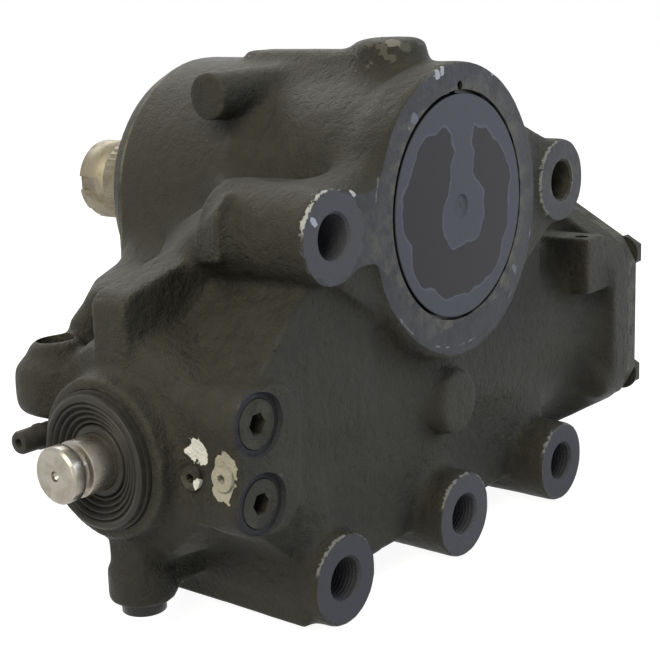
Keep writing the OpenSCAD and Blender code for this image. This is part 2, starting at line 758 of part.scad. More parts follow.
module torsion_bar() {
    color(dark_steel) difference() {
        worm_turned([
            [0, -input_reach + 20], [bar_r, -input_reach + 20], [bar_r, rotor_x0 + 10],
            [bar_r - 0.8, rotor_x0 + 13],
            [bar_r - 0.8, bar_x1 - 18], [bar_r, bar_x1 - 15], [bar_r, bar_x1], [0, bar_x1]
        ]);
        rod_y([rotor_x0 + 4, worm_z], pin_r + seat_gap, worm_y - 10, worm_y + 10);
        rod_y([bar_x1 - 8, worm_z], pin_r + 0.6, worm_y - 10, worm_y + 10);
    }
}

module input_pin()
    color(dark_steel) rod_y([rotor_x0 + 4, worm_z], pin_r, worm_y - valve_r + 1, worm_y + valve_r - 1);

// Piston and ball circuit

tube_r = ball_r + 1.2;
tube_drop = 36;
clamp_screw_y = tube_r + 2.5;
clamp_half = clamp_screw_y + 3;
tube_x = [ball_x0 + 3, ball_x0 + ball_run - 3];

module piston() {
    pocket = ball_track_r + 7;
    color(steel) difference() {
        worm_turned([
            [0, piston_x0], [piston_r - 1.5, piston_x0], [piston_r, piston_x0 + 1.5],
            [piston_r, piston_x1 - 1.5], [piston_r - 1.5, piston_x1], [0, piston_x1]
        ]);
        along_y(worm_y - piston_r - eps, worm_y + piston_r + eps)
            for (k = [-1:1]) rack_gap(k * circular_pitch);
        worm_rod(worm_r + 0.5, piston_x0 - eps, worm_bore_x1);
        worm_rod(ball_track_r, ball_x0 - ball_r - 1, ball_x0 + ball_run + ball_r + 1);
        worm_ring(piston_r - ring_groove_depth, piston_r + eps,
            ring_groove_x, ring_groove_x + ring_groove_w);
        // Pocket under the piston for the return tube and its clamp
        block([tube_x[0] - 9, worm_y - clamp_half - 0.5, worm_z - piston_r - eps],
            [tube_x[1] + 9, worm_y + clamp_half + 0.5, worm_z - pocket]);
        for (x = tube_x) rod_z([x, worm_y], tube_r + seat_gap, worm_z - pocket - eps, worm_z);
        for (s = [-1, 1])
            rod_z([(tube_x[0] + tube_x[1]) / 2, worm_y + s * clamp_screw_y], 2 + seat_gap,
                worm_z - pocket - 1, worm_z - ball_track_r - 0.5);
    }
}

module piston_ring()
    color(bronze) worm_ring(piston_r - 2.6, bore_r - run_gap + 0.05,
        ring_groove_x + 0.15, ring_groove_x + ring_groove_w - 0.15);

module piston_ring_backing()
    color(rubber) worm_ring(piston_r - ring_groove_depth + 0.1, piston_r - 2.7,
        ring_groove_x + 0.2, ring_groove_x + ring_groove_w - 0.2);

module recirculating_balls() {
    per_turn = floor(2 * PI * ball_centre_r / (2 * ball_r + 0.6));
    total = per_turn * ball_turns;
    color(steel) for (i = [0:total - 1]) {
        x = ball_x0 + lead * i / per_turn;
        a = 360 * (x - thread_x0 - 2) / lead;
        translate([x, worm_y + ball_centre_r * sin(a), worm_z - ball_centre_r * cos(a)]) sphere(r = ball_r);
    }
}

module ball_return_tube() {
    mouth = worm_z - ball_track_r - 0.6;
    bend = 6;
    low = worm_z - tube_drop - tube_r;
    color(dark_steel) {
        for (x = tube_x) rod_z([x, worm_y], tube_r, low + bend, mouth);
        rod_x([worm_y, low], tube_r, tube_x[0] + bend, tube_x[1] - bend);
        for (s = [0, 1]) translate([tube_x[s] + (s == 0 ? bend : -bend), worm_y, low + bend])
            rotate([90, 0, 0]) rotate(s == 0 ? 180 : 270) rotate_extrude(angle = 90)
                translate([bend, 0]) circle(r = tube_r, $fn = 32);
    }
}

module tube_clamp() {
    mid = (tube_x[0] + tube_x[1]) / 2;
    pocket = worm_z - ball_track_r - 7;
    low = worm_z - tube_drop - tube_r;
    color(steel) difference() {
        block([mid - 5, worm_y - clamp_half, low - tube_r - 1.5],
            [mid + 5, worm_y + clamp_half, pocket - seat_gap]);
        rod_x([worm_y, low], tube_r + seat_gap, mid - 6, mid + 6);
        block([mid - 6, worm_y - tube_r - seat_gap, low],
            [mid + 6, worm_y + tube_r + seat_gap, pocket + eps]);
        for (s = [-1, 1]) rod_z([mid, worm_y + s * clamp_screw_y], 2 + seat_gap, low - 20, pocket + eps);
    }
}

module tube_clamp_screws() {
    mid = (tube_x[0] + tube_x[1]) / 2;
    low = worm_z - tube_drop - 2 * tube_r - 1.5;
    color(dark_steel) for (s = [-1, 1]) {
        rod_z([mid, worm_y + s * clamp_screw_y], 2, low, worm_z - ball_track_r - 1);
        rod_z([mid, worm_y + s * clamp_screw_y], 2.8, low - 2, low);
    }
}

// Plugs and fittings

module socket_plug(r, rim_r, depth, key)
    difference() {
        union() {
            translate([0, 0, -depth]) cylinder(r = r, h = depth);
            cylinder(r = rim_r, h = 2.4);
        }
        translate([0, 0, -5]) cylinder(r = key / sqrt(3), h = 5 + 2.4 + eps, $fn = 6);
    }

module channel_plugs()
    color(black) for (z = plug_z)
        translate([plug_x, plug_y + 3, z]) rotate([90, 0, 0]) socket_plug(plug_r, plug_r + 2, 16, 9);

module limiter_screws()
    color(dark_steel) for (p = limiter_places)
        translate([wall_x, p[0], p[1]]) rotate([0, -90, 0]) socket_plug(limiter_r, limiter_r + 1.6, 18, 4);

module bottom_plug()
    color(black) {
        rod_z([bottom_x, worm_y], bottom_plug_r, bottom_face, bottom_face + 20);
        rod_z([bottom_x, worm_y], bottom_head_r, bottom_face - 6, bottom_face);
    }

// The nipple screws into a small boss, and a rubber cap with a rim covers its tip
module bleed_nipple()
    color(black) {
        rod_x(bleed_place, bleed_r, wall_x - 16, wall_x + 16);
        translate([wall_x - 1, bleed_place[0], bleed_place[1]]) rotate([0, 90, 0])
            cylinder(r = bleed_r + 2, h = 3.9, $fn = 6);
    }

module bleed_cap()
    color(black) difference() {
        union() {
            rod_x(bleed_place, bleed_r + 1.7, wall_x - 21, wall_x - 2);
            rod_x(bleed_place, bleed_r + 2.8, wall_x - 6, wall_x - 2);
        }
        rod_x(bleed_place, bleed_r + seat_gap, wall_x - 17, wall_x - 1);
    }

housing();
side_cover();
side_cover_seal();
side_cover_snap_ring();
end_cover();
end_cover_bolts();
end_cover_seal();
front_bearing_race();
front_needles();
rear_bearing_race();
rear_needles();
output_seal();
output_seal_ring();
output_dust_seal();
worm_bearing_race();
worm_bearing_balls();
worm_bearing_nut();
input_seal();
input_seal_ring();
dust_boot();
channel_plugs();
limiter_screws();
bottom_plug();
bleed_nipple();
bleed_cap();
worm();
valve_rings();
worm_pin();
input_shaft();
torsion_bar();
input_pin();
piston();
piston_ring();
piston_ring_backing();
recirculating_balls();
ball_return_tube();
tube_clamp();
tube_clamp_screws();
sector_shaft();
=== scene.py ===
import json
import math

import bmesh
import bpy
import numpy as np
from mathutils import Matrix, Vector, noise


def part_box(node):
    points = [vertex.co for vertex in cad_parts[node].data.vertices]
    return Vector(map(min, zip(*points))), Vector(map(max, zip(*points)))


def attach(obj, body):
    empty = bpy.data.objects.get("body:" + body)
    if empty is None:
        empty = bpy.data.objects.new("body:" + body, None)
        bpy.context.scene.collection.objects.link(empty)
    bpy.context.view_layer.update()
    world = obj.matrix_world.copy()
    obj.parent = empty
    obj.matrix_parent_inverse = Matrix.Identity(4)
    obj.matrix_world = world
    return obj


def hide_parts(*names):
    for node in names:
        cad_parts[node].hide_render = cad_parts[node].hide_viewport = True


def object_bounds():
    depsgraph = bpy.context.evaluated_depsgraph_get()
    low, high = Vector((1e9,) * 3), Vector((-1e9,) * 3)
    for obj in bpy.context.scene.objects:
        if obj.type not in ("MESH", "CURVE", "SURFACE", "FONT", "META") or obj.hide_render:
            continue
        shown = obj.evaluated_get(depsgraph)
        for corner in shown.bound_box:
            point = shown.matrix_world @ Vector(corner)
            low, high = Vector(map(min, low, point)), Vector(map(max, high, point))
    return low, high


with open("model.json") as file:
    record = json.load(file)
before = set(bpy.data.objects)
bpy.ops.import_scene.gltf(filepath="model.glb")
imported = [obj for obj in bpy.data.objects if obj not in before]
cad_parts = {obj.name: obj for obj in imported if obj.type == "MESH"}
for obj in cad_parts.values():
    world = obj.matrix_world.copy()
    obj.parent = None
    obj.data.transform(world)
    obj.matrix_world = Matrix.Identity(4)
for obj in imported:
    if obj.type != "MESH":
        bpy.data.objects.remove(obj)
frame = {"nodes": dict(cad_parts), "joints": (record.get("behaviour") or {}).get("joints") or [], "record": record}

bl_info = {
    "name": "Steering gear dresser",
    "version": (1, 0, 0),
    "blender": (4, 5, 0),
    "location": "3D View > Sidebar > Steering gear",
    "description": "Dresses the packed steering gear as a painted casting with machined faces and shafts",
    "category": "Object",
}

MM = 0.001
CAD_LOW, CAD_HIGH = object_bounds()

# Places and sizes taken from the packed record and its nodes
MOUNTS = {mount["name"]: mount for mount in frame["record"]["mounts"]}
WORM_AXIS = Vector(next(joint["pos_m"] for joint in frame["joints"] if joint["name"] == "worm_turn"))
WORM_PLACE = (WORM_AXIS.y, WORM_AXIS.z)
UPPER_SIZES = MOUNTS["upper_mounting_holes"]["dims"]
HOLE_R = UPPER_SIZES["hole_r_mm"] * MM
HALF_SPACING = UPPER_SIZES["spacing_x_mm"] * MM / 2
UPPER_Z = MOUNTS["upper_mounting_holes"]["pos_m"][2]
LOWER_Z = MOUNTS["lower_mounting_holes"]["pos_m"][2]
UPPER_HOLES = [(-HALF_SPACING, UPPER_Z), (HALF_SPACING, UPPER_Z)]
LOWER_HOLES = [(x, LOWER_Z) for x in (-HALF_SPACING, 0.0, HALF_SPACING)]
FLANGE_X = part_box("end_cover_seal")[0].x
HOUSING_LOW, HOUSING_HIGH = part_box("housing")
LUG_R = LOWER_Z - CAD_LOW.z

# Radius of the machined ring and of the boss, chamfer of the mounting holes, stock on the machined faces
# before they are cut, and how far the small screws stand out of the end wall
RING_R = 70 * MM
BOSS_R = 71.5 * MM
CHAMFER = 1.2 * MM
FACE_STOCK = 4 * MM
SCREW_FACE = 2.4 * MM

# Daubs of marking paint round the two small screws; the white also serves as a painted highlight on the first
# screw
WHITE_DAUB_AND_HIGHLIGHT = (0.80, 0.80, 0.78)
BEIGE_DAUB = (0.42, 0.40, 0.34)


# Sizes and colours that a user would change

class CastingSettings(bpy.types.PropertyGroup):
    """The housing casting and its paint."""

    voxel: bpy.props.FloatProperty(
        name="Skin grid", description="Grid of the cast skin", default=1.35 * MM, unit="LENGTH")
    fillet_steps: bpy.props.IntProperty(
        name="Fillet steps", description="Passes that fill inner corners", default=36)
    round_steps: bpy.props.IntProperty(
        name="Rounding steps", description="Passes that round outer edges", default=6)
    ripple: bpy.props.FloatProperty(
        name="Ripple", description="Height of the cast skin's unevenness", default=0.28 * MM, unit="LENGTH")
    paint: bpy.props.FloatVectorProperty(
        name="Paint", description="Paint on cast skin", default=(0.026, 0.026, 0.0215), subtype="COLOR")
    paint_light: bpy.props.FloatVectorProperty(
        name="Worn paint", description="Paint where it is thin", default=(0.043, 0.042, 0.034),
        subtype="COLOR")
    # Bluish paint on the flush machined faces; its tint is partly painted cool light from the front
    face_paint_and_cool_light: bpy.props.FloatVectorProperty(
        name="Face paint and cool light", description="Paint on machined faces, partly painted cool light", default=(0.036, 0.037, 0.043),
        subtype="COLOR")
    chip: bpy.props.FloatVectorProperty(
        name="Chips", description="Bare metal at chipped edges", default=(0.46, 0.46, 0.45), subtype="COLOR")
    # Near-black painted shade for the flange joint and the gaps round the side cover
    painted_crevice_shade: bpy.props.FloatVectorProperty(
        name="Crevice shade", description="Painted shade in the joints and gaps", default=(0.004, 0.004, 0.004), subtype="COLOR")
    cover_pale: bpy.props.FloatVectorProperty(
        name="Pale cover", description="Matt paint on the side cover", default=(0.062, 0.064, 0.082),
        subtype="COLOR")
    cover_dark: bpy.props.FloatVectorProperty(
        name="Dark cover", description="Glossy patches on the cover", default=(0.027, 0.026, 0.030),
        subtype="COLOR")
    dust: bpy.props.FloatVectorProperty(
        name="Dust", description="Dust on faces that look up", default=(0.085, 0.082, 0.066),
        subtype="COLOR")


class FittingSettings(bpy.types.PropertyGroup):
    """Shafts, plugs, boot and inner pieces."""

    bright_steel: bpy.props.FloatVectorProperty(
        name="Bright steel", description="Turned input shaft", default=(0.341, 0.319, 0.281),
        subtype="COLOR")
    output_steel: bpy.props.FloatVectorProperty(
        name="Output steel", description="Oiled output shaft", default=(0.265, 0.234, 0.172),
        subtype="COLOR")
    rubber: bpy.props.FloatVectorProperty(
        name="Rubber", description="Boot and seals", default=(0.022, 0.021, 0.019), subtype="COLOR")
    plug_black: bpy.props.FloatVectorProperty(
        name="Plug black", description="Blackened plugs", default=(0.008, 0.008, 0.008), subtype="COLOR")
    thread_pitch: bpy.props.FloatProperty(
        name="Thread pitch", description="Pitch of the drawn threads", default=2.0 * MM, unit="LENGTH")
    boot_folds: bpy.props.IntProperty(
        name="Boot folds", description="Ring folds of the boot", default=4)


class StageSettings(bpy.types.PropertyGroup):
    """Camera, lamps and floor."""

    azimuth: bpy.props.FloatProperty(
        name="Azimuth", description="Camera azimuth", default=-0.8912447, subtype="ANGLE")
    elevation: bpy.props.FloatProperty(
        name="Elevation", description="Camera elevation", default=0.2368494, subtype="ANGLE")
    roll: bpy.props.FloatProperty(
        name="Roll", description="Camera roll", default=-0.0364914, subtype="ANGLE")
    distance: bpy.props.FloatProperty(
        name="Distance", description="Camera distance", default=0.700951, unit="LENGTH")
    offset_right: bpy.props.FloatProperty(
        name="Right", description="Camera offset to the right", default=-0.066217, unit="LENGTH")
    offset_up: bpy.props.FloatProperty(
        name="Up", description="Camera offset upwards", default=-0.058552, unit="LENGTH")
    lens: bpy.props.FloatProperty(
        name="Lens", description="Focal length on a 36 mm sensor", default=77.90, subtype="DISTANCE_CAMERA")
    floor: bpy.props.FloatVectorProperty(
        name="Floor", description="Colour of the floor", default=(0.40, 0.40, 0.40), subtype="COLOR")


# Mesh helpers

def new_piece(name, mesh):
    """Puts a mesh into the scene as a piece of its own."""
    piece = bpy.data.objects.new(name, mesh)
    bpy.context.scene.collection.objects.link(piece)
    return piece


def drop(piece):
    """Deletes a helper piece and its mesh."""
    mesh = piece.data
    bpy.data.objects.remove(piece)
    bpy.data.meshes.remove(mesh)


def apply_modifiers(piece):
    """Bakes the piece's modifiers into a new mesh."""
    graph = bpy.context.evaluated_depsgraph_get()
    made = bpy.data.meshes.new_from_object(piece.evaluated_get(graph))
    old = piece.data
    piece.modifiers.clear()
    piece.data = made
    bpy.data.meshes.remove(old)


def axis_frame(axis, place, start=0.0):
    """Matrix from a turned shape's own frame, along +Z, to an axis of the gear."""
    if axis == "X":
        turn = Matrix(((0, 0, 1), (1, 0, 0), (0, 1, 0))).to_4x4()
        return Matrix.Translation((start, place[0], place[1])) @ turn
    if axis == "Y":
        turn = Matrix(((0, 1, 0), (0, 0, 1), (1, 0, 0))).to_4x4()
        return Matrix.Translation((place[0], start, place[1])) @ turn
    return Matrix.Translation((place[0], place[1], start))


def circle(radius, along, steps):
    """Points of a circle round a turned shape's own axis."""
    angles = [2 * math.pi * i / steps for i in range(steps)]
    return [Vector((radius * math.cos(a), radius * math.sin(a), along)) for a in angles]


def add_turned(work, profile, axis, place, steps=72):
    """Adds a closed turned solid; its profile runs from the axis out and back as (radius, along)."""
    to_gear = axis_frame(axis, place)
    rings = []
    for radius, along in profile:
        points = [Vector((0, 0, along))] if radius < 1e-7 else circle(radius, along, steps)
        rings.append([work.verts.new(to_gear @ point) for point in points])
    faces = []
    for low, high in zip(rings, rings[1:]):
        for i in range(steps):
            j = (i + 1) % steps
            corners = [low[i % len(low)], low[j % len(low)], high[j % len(high)], high[i % len(high)]]
            kept = list(dict.fromkeys(corners))
            if len(kept) > 2:
                faces.append(work.faces.new(kept))
    bmesh.ops.recalc_face_normals(work, faces=faces)


def rod_profile(radius, start, end):
    """Profile of a plain rod or hole, from the axis out and back."""
    return [(0, start), (radius, start), (radius, end), (0, end)]


def add_rod(work, radius, axis, place, start, end, steps=48):
    """Adds a plain rod along an axis of the gear."""
    add_turned(work, rod_profile(radius, start, end), axis, place, steps)


def add_box(work, low, high):
    """Adds a box between two corners."""
    made = bmesh.ops.create_cube(work, size=1.0)
    middle = (Vector(low) + Vector(high)) / 2
    size = Vector(high) - Vector(low)
    for v in made["verts"]:
        v.co = Vector((v.co.x * size.x, v.co.y * size.y, v.co.z * size.z)) + middle


def mesh_of(work, name):
    """Turns a bmesh into a mesh and lets go of it."""
    mesh = bpy.data.meshes.new(name)
    work.to_mesh(mesh)
    work.free()
    return mesh


def add_solid(work, other):
    """Adds all that one bmesh holds to another, and lets go of the first."""
    mesh = mesh_of(other, "added")
    work.from_mesh(mesh)
    bpy.data.meshes.remove(mesh)


def add_web(work, balls):
    """Adds a rounded web stretched over balls, given as (x, y, z, radius) in mm."""
    web = bmesh.new()
    for x, y, z, radius in balls:
        ball = bmesh.new()
        bmesh.ops.create_icosphere(ball, subdivisions=2, radius=radius * MM)
        for vert in ball.verts:
            web.verts.new(vert.co + Vector((x * MM, y * MM, z * MM)))
        ball.free()
    hull = bmesh.ops.convex_hull(web, input=web.verts[:])
    inside = [part for part in hull["geom_interior"] if isinstance(part, bmesh.types.BMVert)]
    bmesh.ops.delete(web, geom=inside, context="VERTS")
    add_solid(work, web)


def cut_away(piece, work):
    """Takes the closed solids in a bmesh away from the piece."""
    cutter = new_piece("cutter", mesh_of(work, "cutter"))
    cut = piece.modifiers.new("cut", "BOOLEAN")
    cut.operation = "DIFFERENCE"
    cut.solver = "MANIFOLD"
    cut.object = cutter
    apply_modifiers(piece)
    drop(cutter)


def node_solid(node):
    """A bmesh of a CAD node's mesh, with doubled points joined."""
    work = bmesh.new()
    work.from_mesh(frame["nodes"][node].data)
    bmesh.ops.remove_doubles(work, verts=work.verts, dist=1e-6)
    return work


def solids_of(node):
    """Lowest and highest corner of each separate solid of a CAD node, sorted along X, Y and Z."""
    work = node_solid(node)
    seen = set()
    boxes = []
    for start in work.verts:
        if start in seen:
            continue
        stack = [start]
        seen.add(start)
        points = []
        while stack:
            v = stack.pop()
            points.append(v.co.copy())
            for e in v.link_edges:
                other = e.other_vert(v)
                if other not in seen:
                    seen.add(other)
                    stack.append(other)
        low = Vector([min(p[i] for p in points) for i in range(3)])
        high = Vector([max(p[i] for p in points) for i in range(3)])
        boxes.append((low, high))
    work.free()
    return sorted(boxes, key=lambda b: tuple(round(c, 4) for c in b[0]))


def across(axis, low, high):
    """Middle of a box in the two directions across an axis."""
    return tuple((low[i] + high[i]) / 2 for i in range(3) if "XYZ"[i] != axis)


def shade(piece, degrees=32):
    """Shades a piece smooth, with sharp edges where faces meet at more than an angle."""
    piece.data.shade_smooth()
    piece.data.set_sharp_from_angle(angle=math.radians(degrees))


# Material helpers

FLOAT = "NodeSocketFloat"
VECTOR = "NodeSocketVector"


def feed(tree, socket, value):
    """Links a socket to another node's output, or sets its own value."""
    if isinstance(value, bpy.types.NodeSocket):
        tree.links.new(value, socket)
    else:
        socket.default_value = value


def wire(tree, node, **sockets):
    """Links or sets sockets by name; an underscore stands for a space."""
    for key, value in sockets.items():
        feed(tree, node.inputs[key.replace("_", " ")], value)


def add(tree, kind, inputs=None, **settings):
    """Adds a shader node, sets it up, and links or sets its inputs by name or number."""
    node = tree.nodes.new("ShaderNode" + kind)
    for key, value in settings.items():
        setattr(node, key, value)
    for key, value in (inputs or {}).items():
        feed(tree, node.inputs[key], value)
    return node


def math_node(tree, operation, *values, clamp=False):
    """A sum, a product or the like."""
    return add(tree, "Math", dict(enumerate(values)), operation=operation, use_clamp=clamp).outputs[0]


def times(tree, first, second):
    """The product of two values."""
    return math_node(tree, "MULTIPLY", first, second)


def minus(tree, first, second):
    """The first value less the second."""
    return math_node(tree, "SUBTRACT", first, second)


def off_by(tree, value, middle):
    """How far a value lies from a middle one, to either side."""
    return math_node(tree, "ABSOLUTE", minus(tree, value, middle))


def length_of(tree, first, second):
    """Length of a step that goes two ways at right angles."""
    squares = math_node(tree, "ADD", times(tree, first, first), times(tree, second, second))
    return math_node(tree, "SQRT", squares)


def ramp(tree, value, low, high):
    """A smooth step of value from low to high."""
    inputs = {"Value": value, "From Min": low, "From Max": high}
    return add(tree, "MapRange", inputs, interpolation_type="SMOOTHSTEP").outputs["Result"]


def spread(tree, value, low, high):
    """Maps 0 to 1 onto low to high."""
    return math_node(tree, "MULTIPLY_ADD", value, high - low, low)


def distance(tree, first, second):
    """How far two places lie apart."""
    return add(tree, "VectorMath", {0: first, 1: second}, operation="DISTANCE").outputs["Value"]


def cloud(tree, place, scale, detail, roughness=0.5):
    """A cloudy value from 0 to 1."""
    inputs = {"Vector": place, "Scale": scale, "Detail": detail, "Roughness": roughness}
    return add(tree, "TexNoise", inputs).outputs["Fac"]


def rgba(colour):
    """A colour with full cover."""
    return (*tuple(colour)[:3], 1.0)


def scaled(colour, share):
    """A lighter or darker tone of a colour."""
    return [share * c for c in colour]


def mix_value(tree, share, first, second):
    """One value that turns into another."""
    return add(tree, "Mix", {0: share, 2: first, 3: second}).outputs[0]


def mix_colour(tree, share, first, second):
    """One colour that turns into another."""
    node = add(tree, "Mix", {0: share}, data_type="RGBA")
    for key, value in ((6, first), (7, second)):
        feed(tree, node.inputs[key], value if isinstance(value, bpy.types.NodeSocket) else rgba(value))
    return node.outputs[2]


def bump(tree, height, strength, depth):
    """A normal that follows a height."""
    inputs = {"Height": height, "Strength": strength, "Distance": depth}
    return add(tree, "Bump", inputs).outputs["Normal"]


def object_place(tree):
    """Places on the piece in its own frame."""
    return tree.nodes.new("ShaderNodeTexCoord").outputs["Object"]


def split(tree, vector):
    """The three parts of a vector."""
    return add(tree, "SeparateXYZ", {0: vector}).outputs


def new_group(name, inputs, outputs):
    """A shader node group with named sockets; returns its tree, the inputs and the outputs by name."""
    tree = bpy.data.node_groups.new(name, "ShaderNodeTree")
    for label, kind, default in inputs:
        socket = tree.interface.new_socket(label, in_out="INPUT", socket_type=kind)
        socket.default_value = default
    for label, kind in outputs:
        tree.interface.new_socket(label, in_out="OUTPUT", socket_type=kind)
    entry = tree.nodes.new("NodeGroupInput")
    leave = tree.nodes.new("NodeGroupOutput")
    return tree, entry.outputs, leave.inputs


def group_once(build):
    """Builds a group at its first use and hands out the same one after that."""
    def fetch():
        """The group that is named in the builder's own docstring."""
        name = build.__doc__
        return bpy.data.node_groups.get(name) or build(name)
    return fetch


def use_group(tree, fetch, **values):
    """Places a node group with its own values; an underscore stands for a space."""
    node = tree.nodes.new("ShaderNodeGroup")
    node.node_tree = fetch()
    wire(tree, node, **values)
    return node.outputs


# Effects that materials share; each docstring is the name of its node group

@group_once
def cast_skin(name):
    """Cast skin"""
    tree, given, out = new_group(
        name, [("Grain", FLOAT, 900.0), ("Lumps", FLOAT, 170.0)], [("Height", FLOAT), ("Shade", FLOAT)])
    place = object_place(tree)
    grain = cloud(tree, place, given["Grain"], 3.0, 0.6)
    lumps = cloud(tree, place, given["Lumps"], 4.0, 0.55)
    pits = add(tree, "TexVoronoi", {"Vector": place, "Scale": given["Lumps"]}, feature="SMOOTH_F1")
    pit = ramp(tree, pits.outputs["Distance"], 0.0, 0.35)
    height = math_node(tree, "MULTIPLY_ADD", lumps, 0.8, times(tree, grain, 0.45))
    tree.links.new(math_node(tree, "MULTIPLY_ADD", pit, 0.22, height), out["Height"])
    tone = math_node(tree, "MULTIPLY_ADD", lumps, 0.55, cloud(tree, place, 16.0, 5.0, 0.6))
    tone = math_node(tree, "MULTIPLY_ADD", grain, 0.40, tone)
    tree.links.new(ramp(tree, tone, 0.72, 1.22), out["Shade"])
    return tree


@group_once
def rim_chips(name):
    """Rim chips"""
    tree, given, out = new_group(
        name,
        [("Centre X", FLOAT, 0.0), ("Centre Z", FLOAT, 0.0), ("Radius", FLOAT, 0.02),
         ("Width", FLOAT, 0.002), ("Amount", FLOAT, 0.5), ("Side X", FLOAT, 0.0),
         ("Side Z", FLOAT, 0.0), ("Limit", FLOAT, -1.0)],
        [("Mask", FLOAT)])
    place = object_place(tree)
    x, y, z = split(tree, place)
    dx = minus(tree, x, given["Centre X"])
    dz = minus(tree, z, given["Centre Z"])
    reach = length_of(tree, dx, dz)
    away = math_node(tree, "MAXIMUM", off_by(tree, reach, given["Radius"]), times(tree, y, 0.9))
    ragged = cloud(tree, place, 420.0, 4.0, 0.65)
    reach_in = times(tree, given["Width"], math_node(tree, "MULTIPLY_ADD", ragged, 2.4, -0.7))
    near = ramp(tree, minus(tree, reach_in, away), 0.0, 0.0004)
    level = minus(tree, 0.78, times(tree, given["Amount"], 0.5))
    where = ramp(tree, minus(tree, cloud(tree, place, 75.0, 2.0), level), -0.03, 0.05)
    side = math_node(tree, "ADD", times(tree, dx, given["Side X"]), times(tree, dz, given["Side Z"]))
    lean = minus(tree, math_node(tree, "DIVIDE", side, reach), given["Limit"])
    where = times(tree, where, ramp(tree, lean, 0.0, 0.12))
    tree.links.new(times(tree, near, where), out["Mask"])
    return tree


@group_once
def settled_dust(name):
    """Settled dust"""
    tree, given, out = new_group(name, [("Amount", FLOAT, 0.5)], [("Mask", FLOAT)])
    coords = tree.nodes.new("ShaderNodeTexCoord").outputs
    up = split(tree, coords["Normal"])[2]
    patch = ramp(tree, cloud(tree, coords["Object"], 45.0, 6.0, 0.65), 0.32, 0.72)
    lie = times(tree, ramp(tree, up, -0.1, 0.95), patch)
    tree.links.new(times(tree, lie, given["Amount"]), out["Mask"])
    return tree


@group_once
def edge_wear(name):
    """Edge wear"""
    tree, given, out = new_group(name, [("Low", FLOAT, 0.53), ("High", FLOAT, 0.60)], [("Mask", FLOAT)])
    form = tree.nodes.new("ShaderNodeNewGeometry")
    above = minus(tree, form.outputs["Pointiness"], given["Low"])
    sharp = math_node(tree, "DIVIDE", above, minus(tree, given["High"], given["Low"]), clamp=True)
    patch = ramp(tree, cloud(tree, object_place(tree), 110.0, 5.0, 0.65), 0.36, 0.68)
    tree.links.new(times(tree, sharp, patch), out["Mask"])
    return tree


@group_once
def daub(name):
    """Daub"""
    tree, given, out = new_group(
        name, [("Centre", VECTOR, (0, 0, 0)), ("Radius", FLOAT, 0.005), ("Ragged", FLOAT, 0.5)],
        [("Mask", FLOAT)])
    place = object_place(tree)
    away = distance(tree, place, given["Centre"])
    shift = times(tree, minus(tree, cloud(tree, place, 170.0, 3.0), 0.5), given["Ragged"])
    reach = times(tree, given["Radius"], math_node(tree, "MULTIPLY_ADD", shift, 4.0, 1.0))
    tree.links.new(ramp(tree, minus(tree, reach, away), 0.0, 0.0005), out["Mask"])
    return tree


@group_once
def tool_marks(name):
    """Tool marks"""
    tree, given, out = new_group(
        name, [("Axis", VECTOR, (0, 0, 0)), ("Along X", FLOAT, 0.0), ("Lines", FLOAT, 3000.0)],
        [("Height", FLOAT), ("Stain", FLOAT)])
    place = object_place(tree)
    from_axis = add(tree, "VectorMath", {0: place, 1: given["Axis"]}, operation="SUBTRACT").outputs[0]
    x, y, z = split(tree, from_axis)
    other = mix_value(tree, given["Along X"], x, y)
    along = mix_value(tree, given["Along X"], y, x)
    run = math_node(tree, "ADD", length_of(tree, other, z), along)
    row = {"W": times(tree, run, given["Lines"]), "Scale": 1.0, "Detail": 2.0}
    lines = add(tree, "TexNoise", row, noise_dimensions="1D")
    tree.links.new(lines.outputs["Fac"], out["Height"])
    tree.links.new(ramp(tree, cloud(tree, place, 120.0, 5.0, 0.65), 0.42, 0.72), out["Stain"])
    return tree


def new_material(name):
    """A material with a Principled shader; returns the material, its tree and the shader."""
    material = bpy.data.materials.new(name)
    material.use_nodes = True
    tree = material.node_tree
    return material, tree, tree.nodes["Principled BSDF"]


# Materials

def machined_face(tree, settings, colour, height, rough):
    """Makes the faces that are flush at Y = 0 smoother and smeared; returns colour, height, roughness."""
    coords = tree.nodes.new("ShaderNodeTexCoord").outputs
    facing = ramp(tree, times(tree, split(tree, coords["Normal"])[1], -1.0), 0.93, 0.99)
    flush = ramp(tree, split(tree, coords["Object"])[1], 0.0006, 0.0003)
    face = times(tree, facing, flush)
    smears = cloud(tree, coords["Object"], 60.0, 5.0)
    # The bluish, lighter tone of the flush faces is partly their paint and partly painted cool light
    pale = scaled(settings.face_paint_and_cool_light, 1.45)
    tone = mix_colour(tree, ramp(tree, smears, 0.35, 0.7), settings.face_paint_and_cool_light, pale)
    colour = mix_colour(tree, face, colour, tone)
    height = times(tree, height, spread(tree, face, 1.0, 0.25))
    rough = mix_value(tree, face, rough, spread(tree, smears, 0.30, 0.5))
    return colour, height, rough


